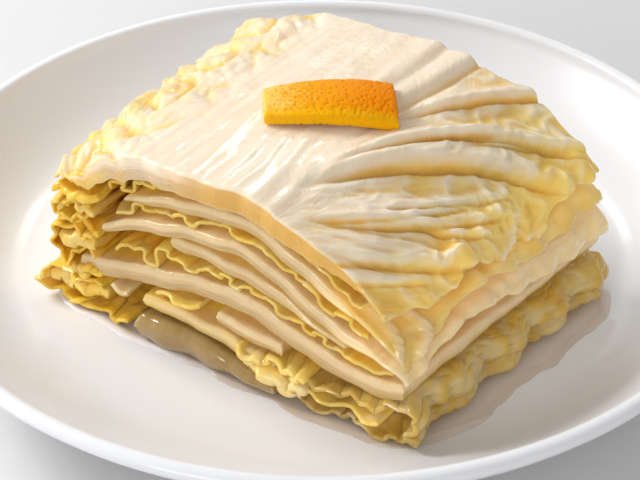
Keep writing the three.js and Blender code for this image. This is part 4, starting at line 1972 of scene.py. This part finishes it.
@dataclass
class Block:
    """The stack of leaves.

    Attributes:
        foot: The thick stem that stands out at the foot of the cut face.
        stems: The other stems.
        frills: The thin blades between them.
        curls: The folded leaves at the sides and at the foot.
        crumples: Ends of the section, thickness and front of the blades in the gaps.
    """

    foot: Stem = field(
        default_factory=lambda: Stem(
            "stem_foot", FootLayer(), 20.4, 46, -2.2, 27, 0.2, 120, 16, 0.1, Slot.WET, corner=1.5
        )
    )
    stems: tuple[Stem, ...] = (
        Stem("stem_low", LOW_STEM, 21.4, 45, -0.8, 21, 1.0, 120, 16),
        Stem("stem_tongue", TONGUE_STEM, 34.6, 46, -0.4, 22, 0.2, 80, 16),
        Stem("stem_long", LONG_STEM, 7.4, 65.9, 0.0, 23, 0.08, 240, 60, ragged=0.25),
        Stem("stem_inner_low", INNER_LOW, 26, 56, 0.3, 24, 0.4, 160),
        Stem(
            "stem_inner_high", INNER_HIGH, 14, 64.6, -0.5, 25, 0.12, 200, 70,
            hang=Hang(
                61, -0.4,
                (
                    (-1, 10.9), (5, 13.0), (10, 14.6), (14, 15.0), (18, 14.4),
                    (26, 13.0), (33, 12.3), (43, 11.8), (51, 12.0),
                ),
                0.5, 1.6,
            ),
        ),
        Stem(
            "stem_upper", UPPER_STEM, 18, 65.2, 0.2, 26, 0.5, 200, 70,
            hang=Hang(
                57.2, 0.7,
                (
                    (-1, 11.6), (3.6, 14.2), (7, 15.4), (10, 16.4), (13, 17.5), (17, 18.2),
                    (22, 17.6), (26, 16.6), (31, 15.9), (38, 16.4), (45, 17.6), (51, 17.4),
                ),
                1.5, 3.2,
            ),
        ),
    )
    frills: tuple[Frill, ...] = (
        Frill("frill_middle", LONG_STEM.over, INNER_LOW.under, 8.2, 0.3, 15, 63, 0.4, 31),
        Frill("frill_inner", INNER_HIGH.over, UPPER_STEM.under, 7.3, 1.9, 15.5, 60, 0.3, 32),
        Frill("frill_upper", UPPER_STEM.over, top_ceiling, 7.9, 4.2, 15.5, 59.5, 0.8, 33),
    )
    curls: tuple[FoldedLeaf, ...] = (
        FoldedLeaf(
            "leaf_foot_left", Slot.WET,
            (
                (13.4, 5.8), (9, 5.9), (5, 6), (1.2, 5.6), (0, 3.5),
                (1.2, 1.5), (5, 1.1), (12, 1.2), (18, 1.3),
            ),
            0.7, 41, 0.5, 0.2, ruffle=0.5, ruffle_length=4.7,
        ),
        FoldedLeaf(
            "curl_low", Slot.STEM, ((14.8, 7), (16.6, 7), (18.6, 7.5)), 0.9, 42, 2.5, 0.1,
            columns=40, tint=0.2, pucker=0.15,
        ),
        FoldedLeaf(
            "leaf_foot_right", Slot.WET,
            (
                (48.4, 1.2), (55, 1.2), (62, 1.2), (66.6, 1.3), (67.9, 2.3), (67.0, 3.7),
                (68.1, 5.0), (67.2, 6.5), (64.4, 6.9), (58, 5.2), (49.5, 5.1),
            ),
            0.8, 43, 2.0, 0.2,
            columns=200, rows=150, pucker=0.3, tint=0.6, ruffle=0.3, pleat=0.6,
        ),
        FoldedLeaf(
            "frill_foot", Slot.BLADE,
            ((47.6, 3), (51, 3.4), (54, 2.7), (57, 3.2), (60, 2.7), (63, 3.2)),
            0.7, 44, 1.2, 0.12, pucker=0.2,
        ),
        FoldedLeaf(
            "frill_low", Slot.BLADE, ((23.4, 9), (25.6, 9.8), (28, 9.3), (31.6, 10)),
            0.7, 45, 0.9, 0.08, columns=70, pucker=0.2,
        ),
        FoldedLeaf(
            "curl_left_low", Slot.BLADE,
            (
                (12.4, 15), (8.9, 14.6), (5.8, 15), (2.9, 14.3), (1.9, 12),
                (2.4, 9.6), (4.4, 8.3), (6.2, 10.4), (8.8, 11.5), (12, 11.6),
            ),
            0.6, 46, 4.0, 0.15, ruffle=0.5, ruffle_length=4.3,
        ),
        FoldedLeaf(
            "curl_left_high", Slot.BLADE,
            (
                (12.6, 21.2), (8.4, 20.2), (5, 19.6), (2.8, 19.1),
                (2.5, 17.6), (4.2, 16.7), (7.5, 17.3), (12, 18.4),
            ),
            0.6, 47, 5.2, 0.12, ruffle=0.5, ruffle_length=4.3,
        ),
    )
    crumples: tuple[tuple[Pair, Pair, float, float], ...] = (
        ((1.4, 3.5), (13.0, 3.5), 2.6, -0.3),
        ((3.2, 7.4), (12.4, 8.3), 1.7, -0.8),
        ((3.0, 12.9), (12.4, 13.2), 2.2, -1.3),
        ((2.6, 15.9), (13.2, 16.4), 1.2, -0.3),
        ((3.8, 18.3), (12.8, 19.7), 1.2, -0.8),
        ((3.0, 21.0), (13.6, 22.6), 1.3, -1.3),
        ((40.5, 4.0), (50.5, 2.6), 2.0, -2.4),
        ((38.5, 6.4), (51.0, 5.2), 1.1, -1.6),
    )

    def build(self) -> None:
        """Builds all the leaves."""
        stem, blade, curled = STEM_LEAF.make(), BLADE_LEAF.make(), CURLED_LEAF.make()
        finish = {Slot.STEM: stem, Slot.BLADE: blade, Slot.WET: WET_LEAF.make()}
        self.foot.build(FOOT_STEM.make())
        for piece in self.stems:
            piece.build(stem)
        for frill in self.frills:
            frill.build(blade)
        for curl in self.curls:
            curl.build(curled if "left" in curl.name else finish[curl.slot])
        self.build_crumples(curled, blade)
        TopLeaf().build(TOP_LEAF.make())

    def build_crumples(self, curled: bpy.types.Material, blade: bpy.types.Material) -> None:
        """Builds the thin crumpled blades in the gaps of the cut face.

        Args:
            curled: Material of those inside the folded left ends.
            blade: Material of the others.
        """
        for k, ((left, low), (right, high), thickness, front) in enumerate(self.crumples):
            middle = ((left + right) / 2, (low + high) / 2 + 0.3 * (-1) ** k)
            leaf = FoldedLeaf(
                f"crumple_{k + 1}", Slot.BLADE, ((left, low), middle, (right, high)), thickness,
                70 + k, 1.3 * k, 0.2, front, columns=110, rows=60, pucker=0.4,
                tint=0.55 + 0.25 * (k % 2), ruffle=0.35,
                ruffle_length=(4.4, 3.3, 5.1)[k % 3], inside=0.3,
            )
            leaf.build(curled if right < CUT_WIDTH / 3 else blade)


# ------------------------------------------------------------------ peel
@dataclass
class Peel:
    """Strip of citrus peel on the top leaf.

    Attributes:
        length: Its length.
        width: Its width.
        thickness: Its thickness.
        centre: Its middle, s and t.
        turn: How far it is turned from the cut face, in radians.
        crown: How much its middle stands up.
        pore_spacing: Distance between oil glands.
        pore_depth: Depth of their dimples.
    """

    length: float = 19.5
    width: float = 10.6
    thickness: float = 1.7
    centre: Pair = (37.7, 24.8)
    turn: float = math.radians(37)
    crown: float = 0.8
    pore_spacing: float = 0.72
    pore_depth: float = 0.13

    def sheet(self) -> Sheet:
        """Lays the strip on the top leaf.

        Returns:
            The strip before its pores.
        """
        u, v = np.meshgrid(edge_rows(1.0, 170, 0.004, 4), edge_rows(1.0, 80, 0.008, 4))
        x = (u - 0.5) * self.length
        y = (v - 0.5) * self.width * (1 - 0.1 * (2 * u - 1) ** 2 - 0.16 * (1 - u) ** 3)
        c, n = math.cos(self.turn), math.sin(self.turn)
        s = self.centre[0] + x * c - y * n
        t = self.centre[1] + x * n + y * c
        crown = self.crown * (1 - (2 * v - 1) ** 2)
        low = dome(s, t) + 0.5 + crown - 0.5 * (2 * u - 1) ** 2
        lower = np.stack([s, t, low], axis=2)
        upper = np.stack([s, t, low + self.thickness], axis=2)
        edge = np.minimum(v, 1 - v) * self.width
        lower_side = fall_between(v * self.width, 0.2, 2.6)
        rind = np.maximum(lower_side, 0.9 * fall_between(edge, 0.0, 0.7))
        marks = {"ripeness": u, "rind": 0.9 * rind}
        return Sheet(upper, lower, marks, corner=0.35, wall_strips=6, bulge=0.1)

    def sink_pores(self, piece: bpy.types.Object, finish: bpy.types.Material) -> None:
        """Sinks a dimple at each oil gland.

        Args:
            piece: The strip.
            finish: Its material.
        """
        tree = ShapeTree("oil_glands", {"Pore spacing": "Float", "Pore depth": "Float"})
        place, normal = map(tree.node, ("GeometryNodeInputPosition", "GeometryNodeInputNormal"))
        cells = tree.node(
            "ShaderNodeTexVoronoi",
            {"feature": "F1"},
            {"Vector": place, "Scale": tree.maths("DIVIDE", 1.0, tree.given("Pore spacing"))},
            "Distance",
        )
        dimple = tree.node(
            "ShaderNodeMapRange",
            {"interpolation_type": "SMOOTHSTEP"},
            {"Value": cells, "From Min": 0.1, "From Max": 0.55, "To Min": -1.0, "To Max": 0.0},
            "Result",
        )
        push = tree.node(
            "ShaderNodeVectorMath",
            {"operation": "SCALE"},
            {0: normal, "Scale": dimple * tree.given("Pore depth")},
        )
        dimpled = tree.node(
            "GeometryNodeSetPosition",
            inputs={"Geometry": tree.given("Geometry"), "Offset": push},
        )
        sizes = {"Pore spacing": self.pore_spacing * MM, "Pore depth": self.pore_depth * MM}
        tree.bake(piece, dimpled, finish, sizes)

    def build(self) -> bpy.types.Object:
        """Builds the peel.

        Returns:
            The piece.
        """
        finish = PeelFinish().make()
        piece = sheet_object("peel", self.sheet(), finish)
        self.sink_pores(piece, finish)
        return carried(piece, ["peel"])


# ------------------------------------------------------------------ plate
@dataclass
class Plate:
    """Round plate with an upturned rim and a foot ring.

    Attributes:
        radius: Outer radius.
        height: Height of the rim.
        floor_radius: Radius of the flat floor.
        foot_radius: Outer radius of the foot ring.
        foot_width: Width of the foot ring.
        recess: Height of the underside inside the foot ring.
        rim: Thickness at the rim.
        segments: Steps round the plate.
        axis: Radius of the tiny circle that its section is swept along, metres.
        weld: How near points are that become one.
    """

    radius: float = 67.0
    height: float = 17.0
    floor_radius: float = 47.0
    foot_radius: float = 34.0
    foot_width: float = 3.5
    recess: float = 2.0
    rim: float = 2.8
    segments: int = 192
    axis: float = 1e-6
    weld: float = 0.01

    def profile(self) -> Grid:
        """Half section from the underside's middle round the rim to the floor's middle.

        Returns:
            Rows of radius and height.
        """
        half = self.rim / 2
        roll_height = self.height - half
        inner, outer = self.foot_radius - self.foot_width, self.foot_radius
        foot = [
            (0, self.recess), (12, self.recess), (inner - 1.2, self.recess), (inner - 0.5, 0.9),
            (inner, 0.25), (inner + 0.4, 0), (outer - 0.4, 0), (outer, 0.25), (outer + 0.7, 1.2),
        ]
        x = np.linspace(0, 1, 19)
        outside = lerp(outer + 1.6, self.radius, x), lerp(self.recess, roll_height, x**3)
        angle = np.radians(np.arange(20, 180, 20))
        roll = self.radius - half + half * np.cos(angle), roll_height + half * np.sin(angle)
        bowl = lerp(FLOOR_HEIGHT, roll_height, x**1.9)
        inside = lerp(self.floor_radius, self.radius - self.rim, x)[::-1], bowl[::-1]
        floor = [(r, FLOOR_HEIGHT) for r in (44, 36, 24, 12, 0)]
        curved = [np.stack(part, axis=1) for part in (outside, roll, inside)]
        return np.concatenate([foot, *curved, floor])

    def lathe(self, piece: bpy.types.Object, finish: bpy.types.Material) -> None:
        """Turns the half section round the plate's axis.

        Args:
            piece: The object that holds the half section.
            finish: Material of the plate.
        """
        tree = ShapeTree("plate_lathe", {"Segments": "Int", "Weld": "Float"})
        section = tree.node("GeometryNodeMeshToCurve", inputs={0: tree.given("Geometry")})
        axis = tree.node(
            "GeometryNodeCurvePrimitiveCircle",
            inputs={"Resolution": tree.given("Segments"), "Radius": self.axis},
            output="Curve",
        )
        sweep = tree.node(
            "GeometryNodeCurveToMesh", inputs={"Curve": axis, "Profile Curve": section}
        )
        welded = tree.node(
            "GeometryNodeMergeByDistance",
            inputs={"Geometry": sweep, "Distance": tree.given("Weld")},
        )
        tree.bake(piece, welded, finish, {"Segments": self.segments, "Weld": self.weld * MM})

    def build(self) -> bpy.types.Object:
        """Builds the plate.

        Returns:
            The piece.
        """
        mesh = bpy.data.meshes.new("plate")
        points = [(-r * MM, -h * MM, 0) for r, h in self.profile()]
        mesh.from_pydata(points, [(i, i + 1) for i in range(len(points) - 1)], [])
        piece = placed("plate_white", mesh)
        self.lathe(piece, GlazeFinish().make())
        outward(piece)
        return carried(piece, ["plate"])


def outward(piece: bpy.types.Object) -> None:
    """Turns all faces of a closed mesh outwards.

    Args:
        piece: The object of the mesh.
    """
    shape = bmesh.new()
    shape.from_mesh(piece.data)
    bmesh.ops.recalc_face_normals(shape, faces=shape.faces)
    shape.to_mesh(piece.data)
    shape.free()


# ------------------------------------------------------------------ brine
@dataclass
class Brine:
    """Thin skin of brine round the foot of the block.

    Attributes:
        depth: Its depth.
        reach: How far it stands out from the leaves.
        squareness: Power that sets how square its outline is.
        around: Steps round it.
        bottom: Height of its underside.
        edge_height: Height of its edge.
        middle: Its middle, s and t.
    """

    depth: float = 0.6
    reach: float = 2.5
    squareness: float = 7.0
    around: int = 360
    bottom: float = 0.03
    edge_height: float = 0.06
    middle: Pair = (CUT_WIDTH / 2 + 2, LEAF_LENGTH / 2)

    def faces(self, rings: int) -> list[tuple[int, ...]]:
        """Faces of both sides and the rim.

        Args:
            rings: How many rings of points each side has round its middle.

        Returns:
            Numbers of the points of each face.
        """
        found: list[tuple[int, ...]] = []
        lower = 1 + rings * self.around
        for j in range(self.around):
            k = (j + 1) % self.around
            found.append((0, 1 + j, 1 + k))
            found.append((lower, lower + 1 + k, lower + 1 + j))
            for start in range(1, lower - self.around, self.around):
                a, b = start + j, start + k
                d, e = a + self.around, b + self.around
                found.append((a, d, e, b))
                found.append((lower + a, lower + b, lower + e, lower + d))
            a, b = lower - self.around + j, lower - self.around + k
            found.append((a, lower + a, lower + b, b))
        return found

    def build(self) -> bpy.types.Object:
        """Builds the puddle.

        Returns:
            The piece.
        """
        angle = np.linspace(0, 2 * np.pi, self.around, endpoint=False)
        c, n = np.cos(angle), np.sin(angle)
        radius = sum(
            np.abs(share / (size / 2 + self.reach)) ** self.squareness
            for share, size in ((c, CUT_WIDTH), (n, LEAF_LENGTH))
        ) ** (-1 / self.squareness)
        unevenness = Wrinkles(61).layered(4 * c, 4 * n, 3)
        radius = radius + 0.9 * unevenness + 0.9 * step_between(c, 0.2, 0.9)
        rounded = 1 - 0.1 * np.linspace(1, 0, 14)[1:] ** 2
        share = np.concatenate([np.linspace(0, 0.9, 12), rounded])[1:]
        height = self.depth * np.sqrt(np.maximum(1 - share**24, 0))
        height[-1] = self.edge_height
        s = self.middle[0] + share[:, None] * (radius * c)[None, :]
        t = self.middle[1] + share[:, None] * (radius * n)[None, :]
        s = s + SIDE_FLARE * t * step_between(s, 30, 66)
        points = []
        for middle_z, z in ((self.depth, height[:, None]), (self.bottom, self.bottom)):
            ring = np.stack([s, t, np.broadcast_to(z, s.shape)], axis=2)
            points += [[[*self.middle, middle_z]], ring.reshape(-1, 3)]
        mesh = bpy.data.meshes.new("brine")
        places = BLOCK.place(np.concatenate(points)) * MM
        mesh.from_pydata([tuple(p) for p in places], [], self.faces(len(share)))
        # painted glint along the brine's edge, weaker on the right and front right, away from the
        # window
        rim = 1 - 0.8 * step_between(c - 0.6 * n, 0.1, 0.9)
        edge = (step_between(share, 0.94, 0.985)[:, None] * rim).ravel()
        dress(mesh, {"edge": np.concatenate([[0], edge, [0], edge])}, BrineFinish().make())
        return carried(placed("brine", mesh), [])


# ------------------------------------------------------------------ studio
@dataclass(frozen=True)
class Lamp:
    """One soft panel aimed at the block.

    Attributes:
        name: Its name.
        place: Where it stands, metres.
        size: Its width and height, metres.
        watts: Its power.
    """

    name: str
    place: Triple
    size: Pair
    watts: float

    def build(self) -> None:
        """Hangs the lamp."""
        data = bpy.data.lights.new(self.name, "AREA")
        data.shape, data.size, data.size_y = "RECTANGLE", *self.size
        data.energy = self.watts
        lamp = placed(self.name, data)
        lamp.location = self.place
        aim = AIM - Vector(self.place)
        lamp.rotation_euler = aim.to_track_quat("-Z", "Y").to_euler()


AIM = Vector((0, 0, 0.02))  # what the lamps shine at, metres
TABLE_WHITE = light(222, 221, 221)


@dataclass
class Studio:
    """Camera, table, lamps and room.

    Attributes:
        eye: Where the camera stands, mm.
        pitch: How far it looks down, radians.
        turn: How far it looks to the left, radians.
        roll: How far it is turned about its own axis, radians.
        lens: Focal length for a 36 mm sensor.
        table_side: Half of the table's side, metres.
        table_drop: How far the table lies under the plate, metres.
        room_light: Strength of the light from all round.
        lamps: A window behind and to the left, a small lamp behind and a fill in front.
    """

    eye: Triple = (-3.011, -217.49, 164.03)
    pitch: float = math.radians(35.777)
    turn: float = math.radians(-0.645)
    roll: float = math.radians(-0.153)
    lens: float = 92.06
    table_side: float = 1.6
    table_drop: float = 0.0002
    room_light: float = 0.47
    lamps: tuple[Lamp, ...] = (
        Lamp("window", (-0.47, 0.25, 0.4), (0.26, 0.22), 3.6),
        Lamp("glint", (0.0, 0.5, 0.42), (0.08, 0.05), 0.2),
        Lamp("fill", (-0.36, -0.68, 0.3), (0.3, 0.22), 1.8),
    )

    def build(self) -> None:
        """Builds them all."""
        self.build_camera()
        self.build_table()
        self.build_room()
        for lamp in self.lamps:
            lamp.build()
        bpy.context.scene.view_settings.view_transform = "Standard"

    def build_camera(self) -> None:
        """Builds the camera."""
        cp, sp = math.cos(self.pitch), math.sin(self.pitch)
        across = Vector((math.cos(self.turn), math.sin(self.turn), 0))
        level = Vector((-math.sin(self.turn), math.cos(self.turn), 0))
        rise = Vector((0, 0, 1))
        ahead, up = level * cp - rise * sp, level * sp + rise * cp
        cr, sr = math.cos(self.roll), math.sin(self.roll)
        top, side = up * cr + across * sr, across * cr - up * sr
        turned = Matrix((side, top, -ahead)).transposed().to_4x4()
        data = bpy.data.cameras.new("camera")
        data.sensor_width, data.lens = 36.0, self.lens
        data.clip_start, data.clip_end = 0.01, 20.0
        camera = placed("camera", data)
        camera.matrix_world = Matrix.Translation(Vector(self.eye) * MM) @ turned
        bpy.context.scene.camera = camera

    def build_table(self) -> None:
        """Builds the pale table that the plate stands on."""
        side, low = self.table_side, -self.table_drop
        mesh = bpy.data.meshes.new("table")
        corners = [(x * side, y * side, low) for x, y in ((-1, -1), (1, -1), (1, 1), (-1, 1))]
        mesh.from_pydata(corners, [], [(0, 1, 2, 3)])
        matt = FinishTree("table_white")
        mesh.materials.append(matt.surface({"Base Color": TABLE_WHITE, "Roughness": 0.6}))
        placed("table", mesh)

    def build_room(self) -> None:
        """Builds the white room."""
        world = bpy.data.worlds.new("room")
        world.use_nodes = True
        back = world.node_tree.nodes["Background"]
        back.inputs["Color"].default_value = (1.0, 1.0, 1.0, 1)
        back.inputs["Strength"].default_value = self.room_light
        bpy.context.scene.world = world


def main() -> None:
    """Builds the part and its studio."""
    for name, assembly in (
        ("plate", Plate()),
        ("brine", Brine()),
        ("block", Block()),
        ("peel", Peel()),
        ("studio", Studio()),
    ):
        assembly.build()
        log.info("built %s", name)
    bpy.context.view_layer.update()


if __name__ == "__main__":
    main()
